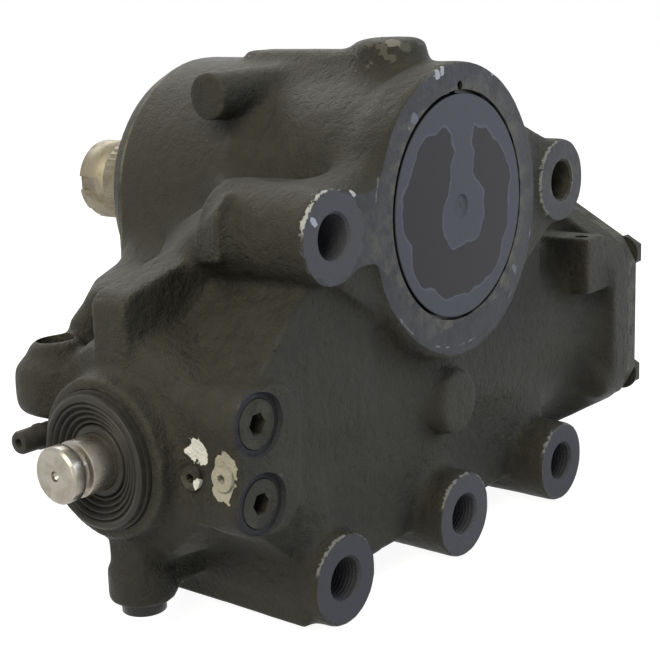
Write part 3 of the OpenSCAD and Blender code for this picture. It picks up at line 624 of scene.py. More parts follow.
def shade_and_wear(tree, settings, colour):
    """Adds grime in the flange joint and the cover's gap, and rubbed paint on the boss rim and the edges."""
    place = object_place(tree)
    parts = split(tree, place)
    x, y = parts["X"], parts["Y"]
    from_axis = distance(tree, place, add(tree, "CombineXYZ", {1: y}).outputs[0])
    # Painted shade: near-black in the flange joint and on the bore wall in the gap round the side cover
    seam_shade = ramp(tree, off_by(tree, x, FLANGE_X), 0.0019, 0.0012)
    gap_shade = times(tree, ramp(tree, from_axis, 0.0573, 0.0569), ramp(tree, y, 0.0002, 0.0006))
    colour = mix_colour(tree, math_node(tree, "MAXIMUM", seam_shade, gap_shade), colour, settings.painted_crevice_shade)
    on_rim = ramp(tree, off_by(tree, y, HOUSING_HIGH.y - 6.5 * MM), 0.0016, 0.0005)
    rubbed = times(tree, on_rim, ramp(tree, from_axis, 0.064, 0.067))
    rubbed = times(tree, rubbed, ramp(tree, cloud(tree, place, 60.0, 4.0), 0.25, 0.65))
    colour = mix_colour(tree, rubbed, colour, scaled(settings.paint_light, 3.4))
    wear = use_group(tree, edge_wear, Low=0.518, High=0.575)["Mask"]
    return mix_colour(tree, wear, colour, scaled(settings.paint_light, 2.6))


def chips_on(tree, rims):
    """Mask of the chips on a list of rims."""
    chips = 0.0
    for (x, z), radius, width, amount, side, limit, strength in rims:
        mask = use_group(tree, rim_chips, Centre_X=x, Centre_Z=z, Radius=radius, Width=width, Amount=amount,
                         Side_X=math.cos(side), Side_Z=math.sin(side), Limit=limit)["Mask"]
        chips = math_node(tree, "MAXIMUM", chips, times(tree, mask, strength))
    return chips


def painted_casting(name, settings, machined=False, rims=(), marks=()):
    """Satin paint on cast iron: grain, thin spots, dust, smoother machined faces, wear and chipped rims."""
    material, tree, shader = new_material(name)
    skin = use_group(tree, cast_skin)
    dust = use_group(tree, settled_dust, Amount=0.22)["Mask"]
    colour = mix_colour(tree, skin["Shade"], settings.paint, settings.paint_light)
    colour = mix_colour(tree, dust, colour, settings.dust)
    height = skin["Height"]
    rough = spread(tree, skin["Shade"], 0.42, 0.56)
    if machined:
        colour, height, rough = machined_face(tree, settings, colour, height, rough)
    colour = shade_and_wear(tree, settings, colour)
    if rims:
        colour = mix_colour(tree, chips_on(tree, rims), colour, settings.chip)
    for centre, radius, ragged, tint in marks:
        mask = use_group(tree, daub, Centre=centre, Radius=radius, Ragged=ragged)["Mask"]
        colour = mix_colour(tree, mask, colour, tint)
        rough = mix_value(tree, mask, rough, 0.7)
    wire(tree, shader, Base_Color=colour, Roughness=rough, Normal=bump(tree, height, 1.0, 0.0020),
         Specular_IOR_Level=0.13)
    return material


def turned_steel(name, colour, axis, along_x, stained, smooth=0.27, metallic=0.9):
    """Bare turned steel with fine tool marks and stains."""
    material, tree, shader = new_material(name)
    marks = use_group(tree, tool_marks, Axis=axis, Along_X=along_x)
    stain = [c * share for c, share in zip(colour, (0.50, 0.46, 0.36))]
    tone = mix_colour(tree, times(tree, marks["Stain"], stained), colour, stain)
    wire(tree, shader, Base_Color=tone, Roughness=spread(tree, marks["Stain"], smooth, smooth + 0.18),
         Normal=bump(tree, marks["Height"], 0.35, 0.0001), Metallic=metallic)
    return material


def black_rubber(name, colour, gloss):
    """Rubber with a fine bloom and dust."""
    material, tree, shader = new_material(name)
    skin = use_group(tree, cast_skin, Grain=1500.0, Lumps=260.0)
    dust = use_group(tree, settled_dust, Amount=0.3)["Mask"]
    tone = mix_colour(tree, skin["Shade"], colour, scaled(colour, 1.9))
    tone = mix_colour(tree, dust, tone, (0.12, 0.115, 0.10))
    wire(tree, shader, Base_Color=tone, Roughness=spread(tree, skin["Shade"], gloss, gloss + 0.18),
         Normal=bump(tree, skin["Height"], 0.25, 0.0003), Specular_IOR_Level=0.2)
    return material


def plain_metal(name, colour, rough, metallic):
    """Ground or spring steel, bronze and the like, with faint marks."""
    material, tree, shader = new_material(name)
    marks = use_group(tree, tool_marks, Lines=5000.0)
    tone = mix_colour(tree, marks["Stain"], colour, scaled(colour, 0.72))
    wire(tree, shader, Base_Color=tone, Roughness=spread(tree, marks["Stain"], rough, rough + 0.12),
         Normal=bump(tree, marks["Height"], 0.15, 0.00005), Metallic=metallic)
    return material


def finish_node(node, material, bevel=0.0):
    """Gives a CAD node its material, and fine rounded edges where asked."""
    piece = frame["nodes"][node]
    for slot in piece.material_slots:
        slot.material = material
    if bevel:
        weld = piece.modifiers.new("weld", "WELD")
        weld.merge_threshold = 1e-6
        rounding = piece.modifiers.new("edges", "BEVEL")
        rounding.width = bevel
        rounding.segments = 2
        rounding.limit_method = "ANGLE"
        rounding.angle_limit = math.radians(35)
        rounding.harden_normals = False


# The housing casting. Each hole is (profile, axis, place, filler), with the profile from the axis out and
# back, and with the start and end of the rod that fills the hole before the skin is made

def mounting_holes():
    """Chamfered holes of the lugs: plain in the upper two, threaded in the lower three."""
    mouth = [(0, -MM), (HOLE_R + CHAMFER + MM, -MM), (HOLE_R, CHAMFER)]
    short = 58 * MM
    through = 140 * MM
    left, right = UPPER_HOLES
    holes = [(mouth + [(HOLE_R, short), (0, short)], "Y", left, (-FACE_STOCK, short - 4 * MM)),
             (mouth + [(HOLE_R, through), (0, through)], "Y", right, (-FACE_STOCK, short))]
    pitch = bpy.context.scene.gear_fittings.thread_pitch
    depth = 106 * MM
    for place in LOWER_HOLES:
        profile = list(mouth)
        along = CHAMFER + pitch / 2
        while along < depth * 0.6:
            profile += [(HOLE_R - 0.1 * MM, along), (HOLE_R + 0.5 * MM, along + pitch / 2)]
            along += pitch
        profile += [(HOLE_R, along), (HOLE_R, depth), (0, depth)]
        holes.append((profile, "Y", place, (-FACE_STOCK, depth - 4 * MM)))
    return holes


def plug_holes():
    """Stepped seats of the socket plugs on the front pad, and holes of the two small screws."""
    holes = []
    for low, high in solids_of("channel_plugs"):
        rim = (high.x - low.x) / 2
        face = low.y + 0.6 * MM
        seat = low.y + 2.4 * MM
        end = high.y + 6 * MM
        profile = [(0, -MM), (rim + 3.5 * MM, -MM), (rim + 3.0 * MM, face), (rim + 0.4 * MM, face),
                   (rim + 0.4 * MM, seat), (rim - 2 * MM, seat), (rim - 2 * MM, end), (0, end)]
        holes.append((profile, "Y", across("Y", low, high), (7 * MM, end - 4 * MM)))
    for low, high in solids_of("limiter_screws"):
        radius = (high.z - low.z) / 2 - 1.5 * MM
        wall = low.x + SCREW_FACE
        end = high.x + 4 * MM
        holes.append((rod_profile(radius, wall - 4 * MM, end), "X", across("X", low, high), (wall, end)))
    return holes


def port_holes():
    """Oil ports and the bracket's hole, from their mounts; a filler stays short of the mouth."""
    holes = []
    for name, axis, skip, short in (("pressure_port", "Z", 0, 6 * MM), ("return_port", "Y", 8 * MM, 4 * MM),
                                    ("bracket_hole", "Z", 0, 6 * MM)):
        mount = MOUNTS[name]
        radius = mount["dims"]["r_mm"] * MM
        length = mount["dims"]["length_mm"] * MM
        place = mount["pos_m"]
        top = place["XYZ".index(axis)] + length / 2 + 6 * MM
        start = top - length - 8 * MM
        holes.append((rod_profile(radius, start, top), axis, across(axis, place, place),
                      (start + skip, top - short)))
    return holes


def small_holes():
    """Holes of the bottom plug, the bleed nipple and the cover bolts, and the snap ring's small hole."""
    low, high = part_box("bottom_plug")
    shank = (high.x - low.x) / 2 - MM
    start, end = low.z - MM, high.z + 2 * MM
    holes = [(rod_profile(shank, start, end), "Z", across("Z", low, high), (start + 7 * MM, end))]
    low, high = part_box("bleed_nipple")
    start, end = low.x, high.x + MM
    holes.append((rod_profile(3.6 * MM, start, end), "X", across("X", low, high), (start + 4 * MM, end)))
    start, end = FLANGE_X - 13 * MM, FLANGE_X + 8 * MM
    for low, high in solids_of("end_cover_bolts"):
        holes.append((rod_profile(6.1 * MM, start, end), "X", across("X", low, high), (start, FLANGE_X)))
    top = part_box("side_cover_snap_ring")[1].z - 0.6 * MM
    holes.append((rod_profile(2.2 * MM, -MM, 6 * MM), "Y", (MM, top), (2 * MM, 7 * MM)))
    return holes


def hole_list():
    """All drilled holes."""
    return mounting_holes() + plug_holes() + port_holes() + small_holes()


def sector_bore():
    """Profile of the bore along the sector axis, as (radius, along Y)."""
    cover_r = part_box("side_cover")[1].x + 0.2 * MM
    ring_low, ring_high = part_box("side_cover_snap_ring")
    race_low, race_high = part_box("rear_bearing_race")
    seal_low, seal_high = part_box("output_seal")
    groove = ring_high.x + 0.2 * MM
    return [(0, -5 * MM), (cover_r, -5 * MM), (cover_r, ring_low.y), (groove, ring_low.y),
            (groove, ring_high.y), (cover_r, ring_high.y), (cover_r, race_low.y - MM),
            (race_high.x, race_low.y - MM), (race_high.x, seal_low.y), (seal_high.x, seal_low.y),
            (seal_high.x, CAD_HIGH.y), (0, CAD_HIGH.y)]


def worm_bore():
    """Profile of the bore along the worm axis, as (radius, along X)."""
    start = CAD_LOW.x - 5 * MM
    end = FLANGE_X + 10 * MM
    boot_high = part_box("dust_boot")[1]
    seal_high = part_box("input_seal")[1]
    rotor_low, rotor_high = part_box("valve_rings")
    race_low, race_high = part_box("worm_bearing_race")
    nut_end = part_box("worm_bearing_nut")[1].x
    head_start = rotor_low.x - 4 * MM
    boot_r = boot_high.y - WORM_AXIS.y + 0.3 * MM
    seal_r = seal_high.y - WORM_AXIS.y
    neck_r = 14 * MM
    head_r = rotor_high.y - WORM_AXIS.y + 0.3 * MM
    race_r = race_high.y - WORM_AXIS.y
    bore_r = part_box("piston_ring")[1].y - WORM_AXIS.y + 0.2 * MM
    return [(0, start), (boot_r, start), (boot_r, boot_high.x), (seal_r, boot_high.x),
            (seal_r, seal_high.x), (neck_r, seal_high.x), (neck_r, head_start), (head_r, head_start),
            (head_r, race_low.x), (race_r, race_low.x), (race_r, nut_end), (bore_r, nut_end),
            (bore_r, end), (0, end)]


def bore_list():
    """The two large bores, in the same form as the holes."""
    return [(sector_bore(), "Y", (0, 0), (0, HOUSING_HIGH.y)),
            (worm_bore(), "X", WORM_PLACE, (HOUSING_LOW.x, FLANGE_X))]


def fill_bores(work):
    """Fills the bores and holes, so that the skin runs over them."""
    for profile, axis, place, (first, last) in bore_list():
        kept = [(r + 2 * MM if r else 0, min(max(t, first), last)) for r, t in profile]
        add_turned(work, kept, axis, place)
    for profile, axis, place, (first, last) in hole_list():
        radius = max(r for r, t in profile) + 1.5 * MM
        if axis == "Y":
            radius = min(radius, LUG_R - 3 * MM)
        add_rod(work, radius, axis, place, first, last)


def add_stock(work):
    """Adds pads round plugs and bolts, stock on the machined faces, and the bevelled rim of the boss."""
    for low, high in solids_of("channel_plugs"):
        x, z = across("Y", low, high)
        add_rod(work, 16 * MM, "Y", (x + 9 * MM, z), 3.2 * MM, 30 * MM, 72)
    for low, high in solids_of("end_cover_bolts"):
        add_rod(work, 10 * MM, "X", across("X", low, high), low.x - 4 * MM, FLANGE_X, 48)
    for radius, place in [(LUG_R, hole) for hole in UPPER_HOLES + LOWER_HOLES] + [(RING_R, (0, 0))]:
        add_turned(work, [(0, -FACE_STOCK), (radius - 4 * MM, -FACE_STOCK), (radius, 1.6 * MM),
                          (radius, FACE_STOCK), (0, FACE_STOCK)], "Y", place, 128)
    end = HOUSING_HIGH.y
    add_turned(work, [(0, end - 20 * MM), (BOSS_R, end - 20 * MM), (BOSS_R, end - 6 * MM),
                      (BOSS_R - 5 * MM, end + 4.5 * MM), (0, end + 4.5 * MM)], "Y", (0, 0), 128)


# Webs of the casting, as the balls that each is stretched over: x, y, z and radius in mm
WEBS = {
    "foot of the return port": [
        (-124, 130, -42, 8), (-132, 131, -49, 8), (-135, 132, -68, 8), (-128, 126, -70, 8)],
    "back of the bracket": [
        (100, 54, -62, 10), (130, 36, -51, 10), (130, 36, -85, 10), (100, 52, -95, 10), (130, 60, -80, 10)],
    "crest on the boss": [(-6, 50, 69, 9), (-6, 87, 66.5, 9), (-6, 124, 63.5, 9)],
    "rib from the boss to the return port": [
        (-66, 160, -34, 9), (-110, 138, -36, 8), (-85, 120, -48, 9), (-106, 112, -31, 9),
        (-118, 118, -39, 8), (-124, 128, -39, 8)],
    "hollow behind that rib": [
        (-70, 140, -40, 12), (-80, 110, -32, 10), (-100, 120, -40, 8), (-71, 152, -24, 9)],
    "top of the left lug's sleeve": [(-80, 14, 13, 9.5), (-80, 76, 11, 9.5)],
    "step round that sleeve": [
        (-127, 45, -10, 1.5), (-125.5, 45, 12, 1.5), (-118, 45, 19, 1.5), (-109, 100, -19, 1.5),
        (-72, 130, -12, 1.5), (-90, 47.5, -5, 1.5), (-85, 60, 5, 1.5)],
}


def add_webs(work):
    """Adds the webs, the bridge from the left lug to the ring, and the round pad on the front wall."""
    for balls in WEBS.values():
        add_web(work, balls)
    add_box(work, (-94 * MM, -FACE_STOCK, -15 * MM), (-60 * MM, 14 * MM, 14 * MM))
    add_turned(work, [(0, 6 * MM), (15 * MM, 6 * MM), (17 * MM, 8 * MM), (17 * MM, 40 * MM), (0, 40 * MM)],
               "Y", (6.3 * MM, -103.2 * MM), 72)


# Places that the foundry blended further: centre, reach, passes, and whether only hollows are filled
BLENDS = [
    ((-0.095, 0.100, 0.000), 0.062, 90, True),
    ((-0.080, 0.140, -0.022), 0.045, 110, True),
    ((-0.080, 0.016, 0.032), 0.034, 110, False),
    ((-0.155, 0.142, -0.060), 0.034, 110, True),
    ((-0.160, 0.144, -0.070), 0.034, 40, False),
    ((-0.062, 0.014, -0.085), 0.060, 70, False),
    ((0.0, 0.040, 0.080), 0.036, 60, False),
    ((0.120, 0.034, -0.056), 0.030, 30, True),
    ((0.158, 0.013, -0.132), 0.030, 50, False),
    ((-0.155, 0.078, -0.164), 0.022, 8, False),
]


def smooth_step(value):
    """A soft rise from 0 to 1."""
    held = np.clip(value, 0.0, 1.0)
    return held * held * (3.0 - 2.0 * held)


class Skin:
    """The points and edges of a mesh, ready for smoothing."""

    def __init__(self, mesh):
        """Reads the mesh."""
        self.mesh = mesh
        self.count = len(mesh.vertices)
        flat = np.empty(self.count * 3)
        mesh.vertices.foreach_get("co", flat)
        self.place = flat.reshape(-1, 3)
        pairs = np.empty(len(mesh.edges) * 2, dtype=np.int64)
        mesh.edges.foreach_get("vertices", pairs)
        self.edges = pairs.reshape(-1, 2)

    def normals(self):
        """Writes the points back to the mesh and returns their normals."""
        self.mesh.vertices.foreach_set("co", self.place.ravel())
        self.mesh.update()
        flat = np.empty(self.count * 3)
        self.mesh.vertex_normals.foreach_get("vector", flat)
        return flat.reshape(-1, 3)

    def smooth(self, steps, fill_only, slack, weight=None):
        """Moves points towards the middle of their neighbours, in hollows only if asked."""
        edges = self.edges
        chosen = np.arange(self.count)
        if weight is not None:
            chosen = np.flatnonzero(weight > 0)
            near = np.zeros(self.count, dtype=bool)
            near[chosen] = True
            edges = edges[near[edges[:, 0]] & near[edges[:, 1]]]
            index = np.full(self.count, -1)
            index[chosen] = np.arange(len(chosen))
            edges = index[edges]
        size = len(chosen)
        first, second = edges.T
        degree = np.maximum(np.bincount(edges.ravel(), minlength=size), 1)[:, None]
        place = self.place[chosen]
        share = 0.55 if weight is None else 0.55 * weight[chosen][:, None]
        for step in range(steps):
            if fill_only and step % 8 == 0:
                self.place[chosen] = place
                normals = self.normals()[chosen]
            total = np.stack([np.bincount(first, place[second, k], size)
                              + np.bincount(second, place[first, k], size) for k in range(3)], axis=1)
            shift = total / degree - place
            if fill_only:
                shift *= ((shift * normals).sum(axis=1) > slack)[:, None]
            place = place + share * shift
        self.place[chosen] = place


def soften(mesh, settings):
    """Fills inner corners with fillets, rounds the outer edges a little, and blends a few places further."""
    skin = Skin(mesh)
    slack = settings.voxel * 0.012
    skin.smooth(settings.fillet_steps, True, slack)
    for centre, reach, steps, fill_only in BLENDS:
        away = np.linalg.norm(skin.place - np.array(centre), axis=1)
        skin.smooth(steps, fill_only, slack * 0.3, smooth_step(1.6 * (1 - away / reach)))
    skin.smooth(settings.round_steps, False, 0.0)
    skin.normals()


def ripple(mesh, height):
    """Gives the cast skin the slow unevenness of sand casting."""
    normals = np.empty(len(mesh.vertices) * 3)
    mesh.vertex_normals.foreach_get("vector", normals)
    normals = normals.reshape(-1, 3)
    for v, n in zip(mesh.vertices, normals):
        slow = noise.noise(v.co * 32.0)
        quick = noise.noise(v.co * 150.0)
        v.co += Vector(n) * height * (slow + 0.35 * quick)
    mesh.update()


def remesh(piece, voxel):
    """Joins all that overlaps in the piece into one skin of even faces."""
    grid = piece.modifiers.new("skin", "REMESH")
    grid.mode = "VOXEL"
    grid.voxel_size = voxel
    apply_modifiers(piece)


def cast_housing(settings):
    """The housing as a rounded casting with crisp machined faces and bores."""
    work = node_solid("housing")
    add_solid(work, node_solid("end_cover"))
    fill_bores(work)
    add_stock(work)
    add_webs(work)
    piece = new_piece("housing_casting", mesh_of(work, "housing_casting"))
    remesh(piece, settings.voxel)
    soften(piece.data, settings)
    ripple(piece.data, settings.ripple)
    for low, high in (((-1, -0.1, -1), (1, 0, 1)), ((FLANGE_X, -1, -1), (FLANGE_X + 1, 1, 1))):
        beyond = bmesh.new()
        add_box(beyond, low, high)
        cut_away(piece, beyond)
    for profile, axis, place in (bore[:3] for bore in bore_list()):
        bored = bmesh.new()
        add_turned(bored, profile, axis, place, 128)
        cut_away(piece, bored)
    drilled = bmesh.new()
    for profile, axis, place in (hole[:3] for hole in hole_list()):
        add_turned(drilled, profile, axis, place, 48)
    cut_away(piece, drilled)
    shade(piece)
    for face in piece.data.polygons:
        if face.normal.y < -0.9995 and face.center.y < 1e-5:
            face.use_smooth = False
    return piece


def chipped_rims():
    """Rims with chips: centre, radius, width, amount, the side that is chipped, how far round, strength."""
    up = math.radians(90)
    all_round = -2.0
    left, right = UPPER_HOLES
    rims = [((0, 0), RING_R, 1.2 * MM, 0.45, 0.0, all_round, 0.35),
            ((0, 0), RING_R, 3.2 * MM, 1.0, up + 0.33, 0.975, 0.7),
            (left, LUG_R, 2.8 * MM, 0.95, up + 0.5, 0.6, 1.0),
            (left, LUG_R, 1.2 * MM, 0.6, up + 1.2, -0.1, 0.5),
            (right, LUG_R, 1.8 * MM, 0.8, up + 1.0, 0.1, 0.45)]
    rims += [(place, LUG_R, 2.4 * MM, 0.8, up, 0.35, 0.4) for place in LOWER_HOLES]
    rims += [(place, HOLE_R + CHAMFER, MM, 0.5, 0.0, all_round, 0.3) for place in UPPER_HOLES + LOWER_HOLES]
    rims += [(place, HOLE_R + 4 * MM, 2.4 * MM, 0.42, 0.0, all_round, 0.6) for place in LOWER_HOLES]
    return rims


# Small scuffs, and a top-pad patch that is partly dust and partly painted sheen: raggedness, colour, and places
# with their reach as x, y, z, reach in mm
SCUFFS_AND_SHEEN = {
    # Partly dust, partly painted sheen where light grazes the top pad
    "dusty top pad with painted sheen": (1.0, (0.095, 0.092, 0.082), [(0, 40, 82, 15)]),
    "specks on the crest": (1.0, (0.21, 0.20, 0.185), [
        (-12, 30, 80.5, 3), (-4, 46, 80.5, 3.5), (6, 36, 80.5, 3), (10, 46, 80.5, 2),
        (-8, 72, 80.5, 4.5), (-10, 92, 80.5, 4), (-6, 106, 80.5, 4), (-14, 122, 80.5, 5)]),
    "bare spots on the ring": (0.7, (0.45, 0.46, 0.50), [
        (-18.5, 0, 65.5, 3), (-14, 0, 66.5, 2.2), (42, 0, 57, 1.4), (30, 0, 62, 1)]),
    "thin spots on the ring": (0.9, (0.17, 0.18, 0.21), [
        (-37, 0, 46.3, 2.6), (-42, 0, 42, 1.5), (50, 0, -40, 2)]),
}


def paint_marks(settings):
    """Marks on the housing's paint, as (centre, radius, raggedness, colour)."""
    marks = []
    # Painted sheen: each lug face is painted lighter by its own share, for the light that its face reflects
    for (x, z), sheen_lift in zip(UPPER_HOLES[:1] + LOWER_HOLES, (2.4, 2.0, 2.3, 1.8)):
        marks.append(((x, 0, z), LUG_R - 1.5 * MM, 0.10, scaled(settings.face_paint_and_cool_light, sheen_lift)))
    screws = solids_of("limiter_screws")
    second, first = [(low + high) / 2 for low, high in screws]
    wall = screws[0][0].x + SCREW_FACE
    marks += [((wall, first.y - 3 * MM, first.z + 12 * MM), 6 * MM, 0.5, WHITE_DAUB_AND_HIGHLIGHT),
              ((wall, second.y, second.z + 4 * MM), 7 * MM, 0.35, BEIGE_DAUB),
              ((wall, second.y, second.z - 5 * MM), 6.5 * MM, 0.35, BEIGE_DAUB)]
    for low, high in solids_of("channel_plugs"):
        middle = (low + high) / 2
        marks.append(((middle.x, low.y + MM, middle.z), 15 * MM, 0.06, scaled(settings.face_paint_and_cool_light, 1.15)))
    for ragged, tint, places in SCUFFS_AND_SHEEN.values():
        marks += [((x * MM, y * MM, z * MM), reach * MM, ragged, tint) for x, y, z, reach in places]
    x, z = UPPER_HOLES[0]
    marks += [((x - 14 * MM, 0, z + 9 * MM), 2.4 * MM, 0.8, (0.42, 0.44, 0.50)),
              ((x + 15 * MM, 0, z + 18 * MM), 1.8 * MM, 0.8, (0.50, 0.50, 0.50))]
    return marks


class GEAR_OT_housing(bpy.types.Operator):
    """Casts the housing, with its machined faces, bores, paint and chips"""

    bl_idname = "gear.housing"
    bl_label = "Housing casting"

    def execute(self, context):
        """Makes the casting and paints it."""
        settings = context.scene.gear_casting
        piece = cast_housing(settings)
        paint = painted_casting("painted_casting", settings, True, chipped_rims(), paint_marks(settings))
        piece.data.materials.clear()
        piece.data.materials.append(paint)
        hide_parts("housing")
        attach(piece, "housing")
        return {"FINISHED"}


# Covers

def cover_paint(settings):
    """Paint on the side cover: pale and matt, with dark glossy patches that leave a rim and a keyhole."""
    material, tree, shader = new_material("side_cover_paint")
    place = object_place(tree)
    x, y, z = split(tree, place)
    fine = cloud(tree, place, 420.0, 4.0, 0.6)
    wander = math_node(tree, "MULTIPLY_ADD", cloud(tree, place, 52.0, 1.6), 0.016, -0.008)

    def within(limit, value):
        """1 where the value stays under a limit that wanders a little."""
        room = minus(tree, math_node(tree, "ADD", wander, limit), value)
        return ramp(tree, room, -0.0022, 0.0022)

    reach = distance(tree, place, (0, 0, 0))
    keyhole = distance(tree, place, (0.003, 0, -0.002))
    in_stem = times(tree, within(0.0095, off_by(tree, x, 0.002)), ramp(tree, z, 0.0, 0.004))
    kept = math_node(tree, "MAXIMUM", within(0.0185, keyhole), in_stem)
    patch = times(tree, within(0.046, reach), within(0.037, z))
    patch = times(tree, patch, minus(tree, 1.0, kept))
    halo = times(tree, ramp(tree, patch, 0.04, 0.3), ramp(tree, patch, 0.55, 0.45))
    dark = ramp(tree, patch, 0.40, 0.62)
    # Painted shade: near-black on the cover's side wall in the gap round it
    gap_shade = times(tree, ramp(tree, y, 0.0004, 0.0009), ramp(tree, reach, 0.050, 0.0515))
    pale = mix_colour(tree, fine, settings.cover_pale, scaled(settings.cover_pale, 1.3))
    base = mix_colour(tree, dark, pale, settings.cover_dark)
    base = mix_colour(tree, times(tree, halo, 0.75), base, scaled(settings.cover_pale, 1.7))
    base = mix_colour(tree, gap_shade, base, settings.painted_crevice_shade)
    wire(tree, shader, Base_Color=base, Roughness=spread(tree, dark, 0.5, 0.34),
         Normal=bump(tree, fine, 0.2, 0.0003), Specular_IOR_Level=0.13)
    return material


def cover_face():
    """A thin face in front of the side cover, with a turned-in centre."""
    low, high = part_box("side_cover")
    reach = high.x - 1.5 * MM
    front = 0.1 * MM
    back = low.y + 0.4 * MM
    profile = [(0, 1.5 * MM), (1.0 * MM, 1.5 * MM), (1.6 * MM, 1.1 * MM), (5.2 * MM, 1.1 * MM),
               (6.2 * MM, front), (reach - 0.3 * MM, front), (reach, front + 0.3 * MM), (reach, back),
               (0, back)]
    work = bmesh.new()
    add_turned(work, profile, "Y", (0.7 * MM, -0.3 * MM), 128)
    return new_piece("side_cover_face", mesh_of(work, "side_cover_face"))


class GEAR_OT_covers(bpy.types.Operator):
    """Finishes the side cover with its snap ring, and the end cover with its bolts"""

    bl_idname = "gear.covers"
    bl_label = "Covers"

    def execute(self, context):
        """Makes the side cover's face and paints both covers."""
        settings = context.scene.gear_casting
        paint = cover_paint(settings)
        finish_node("side_cover", paint)
        face = cover_face()
        shade(face)
        face.data.materials.append(paint)
        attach(face, "housing")
        finish_node("side_cover_snap_ring", plain_metal("ring_steel", (0.05, 0.05, 0.05), 0.4, 0.6))
        cover = painted_casting("end_cover_paint", settings)
        finish_node("end_cover", cover, 0.8 * MM)
        finish_node("end_cover_bolts", cover, 0.5 * MM)
        return {"FINISHED"}


# Shafts and boot

def keyed_shaft():
    """The sector shaft with the keyway of its nut's locking tab."""
    piece = new_piece("output_shaft", mesh_of(node_solid("sector_shaft"), "output_shaft"))
    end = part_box("sector_shaft")[1].y
    thread_r = 23 * MM
    half = 4 * MM
    keyway = bmesh.new()
    add_box(keyway, (-thread_r - 4 * MM, end - 9 * MM, -half), (-thread_r + 3 * MM, end + 5 * MM, half))
    cut_away(piece, keyway)
    shade(piece, 30)
    return piece


class GEAR_OT_output(bpy.types.Operator):
    """Makes the sector shaft with its serrated, threaded and keyed end"""

    bl_idname = "gear.output"
    bl_label = "Output shaft"

    def execute(self, context):
        """Makes the shaft of oiled steel."""
        steel = context.scene.gear_fittings.output_steel
        piece = keyed_shaft()
        piece.data.materials.clear()
        piece.data.materials.append(turned_steel("output_steel", steel, (0, 0, 0), 0.0, 0.6, 0.46, 0.6))
        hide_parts("sector_shaft")
        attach(piece, "sector")
        return {"FINISHED"}


def boot_profile(folds):
    """The boot from the hub out over its folds and back, as (radius, along X)."""
    low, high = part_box("dust_boot")
    outer = high.y - WORM_AXIS.y
    hub = 13.3 * MM
    hub_out = hub + 3.2 * MM
    rim_in = outer - 5.2 * MM
    groove = outer - 1.5 * MM
    step = low.x + 3.6 * MM
    dish = 4.6 * MM
    profile = [(hub, low.x + dish - 1.2 * MM), (hub_out - 0.8 * MM, low.x + dish - 1.3 * MM),
               (hub_out, low.x + dish - 0.6 * MM)]
    steps = folds * 12
    for i in range(steps + 1):
        share = i / steps
        radius = hub_out + (rim_in - hub_out) * share
        wave = 0.5 - 0.5 * math.cos(2 * math.pi * folds * share)
        profile.append((radius, low.x + dish * (1 - share) + 1.6 * MM - 1.7 * MM * wave ** 0.7))
    profile += [(rim_in + 0.5 * MM, low.x + 0.4 * MM), (rim_in + 1.4 * MM, low.x),
                (groove - 1.2 * MM, low.x), (groove, low.x + 1.0 * MM), (groove, step), (outer, step),
                (outer, high.x), (hub, high.x)]
    return profile


def ring_solid(profile, axis, place, steps):
    """A turned ring from a closed profile that stays off the axis."""
    to_gear = axis_frame(axis, place)
    work = bmesh.new()
    rings = [[work.verts.new(to_gear @ point) for point in circle(r, t, steps)] for r, t in profile]
    for low, high in zip(rings, rings[1:] + rings[:1]):
        for i in range(steps):
            j = (i + 1) % steps
            work.faces.new((low[i], low[j], high[j], high[i]))
    bmesh.ops.recalc_face_normals(work, faces=work.faces)
    return work


class GEAR_OT_input(bpy.types.Operator):
    """Makes the folded dust boot and finishes the input shaft"""

    bl_idname = "gear.input"
    bl_label = "Input end"

    def execute(self, context):
        """Makes the boot and gives the shaft its steel."""
        fittings = context.scene.gear_fittings
        steel = turned_steel("bright_steel", fittings.bright_steel, (0, *WORM_PLACE), 1.0, 0.5)
        finish_node("input_shaft", steel, 0.25 * MM)
        work = ring_solid(boot_profile(fittings.boot_folds), "X", WORM_PLACE, 96)
        boot = new_piece("folded_boot", mesh_of(work, "folded_boot"))
        shade(boot, 50)
        boot.data.materials.append(black_rubber("boot_rubber", fittings.rubber, 0.36))
        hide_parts("dust_boot")
        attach(boot, "housing")
        return {"FINISHED"}


def bleed_cap():
    """The cap of the bleed nipple, with its blind hole and its thicker rim."""
    low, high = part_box("bleed_cap")
    outer = (high.z - low.z) / 2
    along = high.x - low.x
    profile = [(0, 3.2 * MM), (1.9 * MM, 3.2 * MM), (2.2 * MM, 0.4 * MM), (2.8 * MM, 0),
               (outer - 1.4 * MM, 0.3 * MM), (outer - 0.7 * MM, 1.4 * MM), (outer - 0.6 * MM, along * 0.55),
               (outer, along * 0.62), (outer, along * 0.74), (outer - 0.5 * MM, along * 0.8),
               (outer - 0.4 * MM, along), (0, along)]
    work = bmesh.new()
    add_turned(work, [(r, low.x + t) for r, t in profile], "X", across("X", low, high), 40)
    return new_piece("bleed_cap_shell", mesh_of(work, "bleed_cap_shell"))


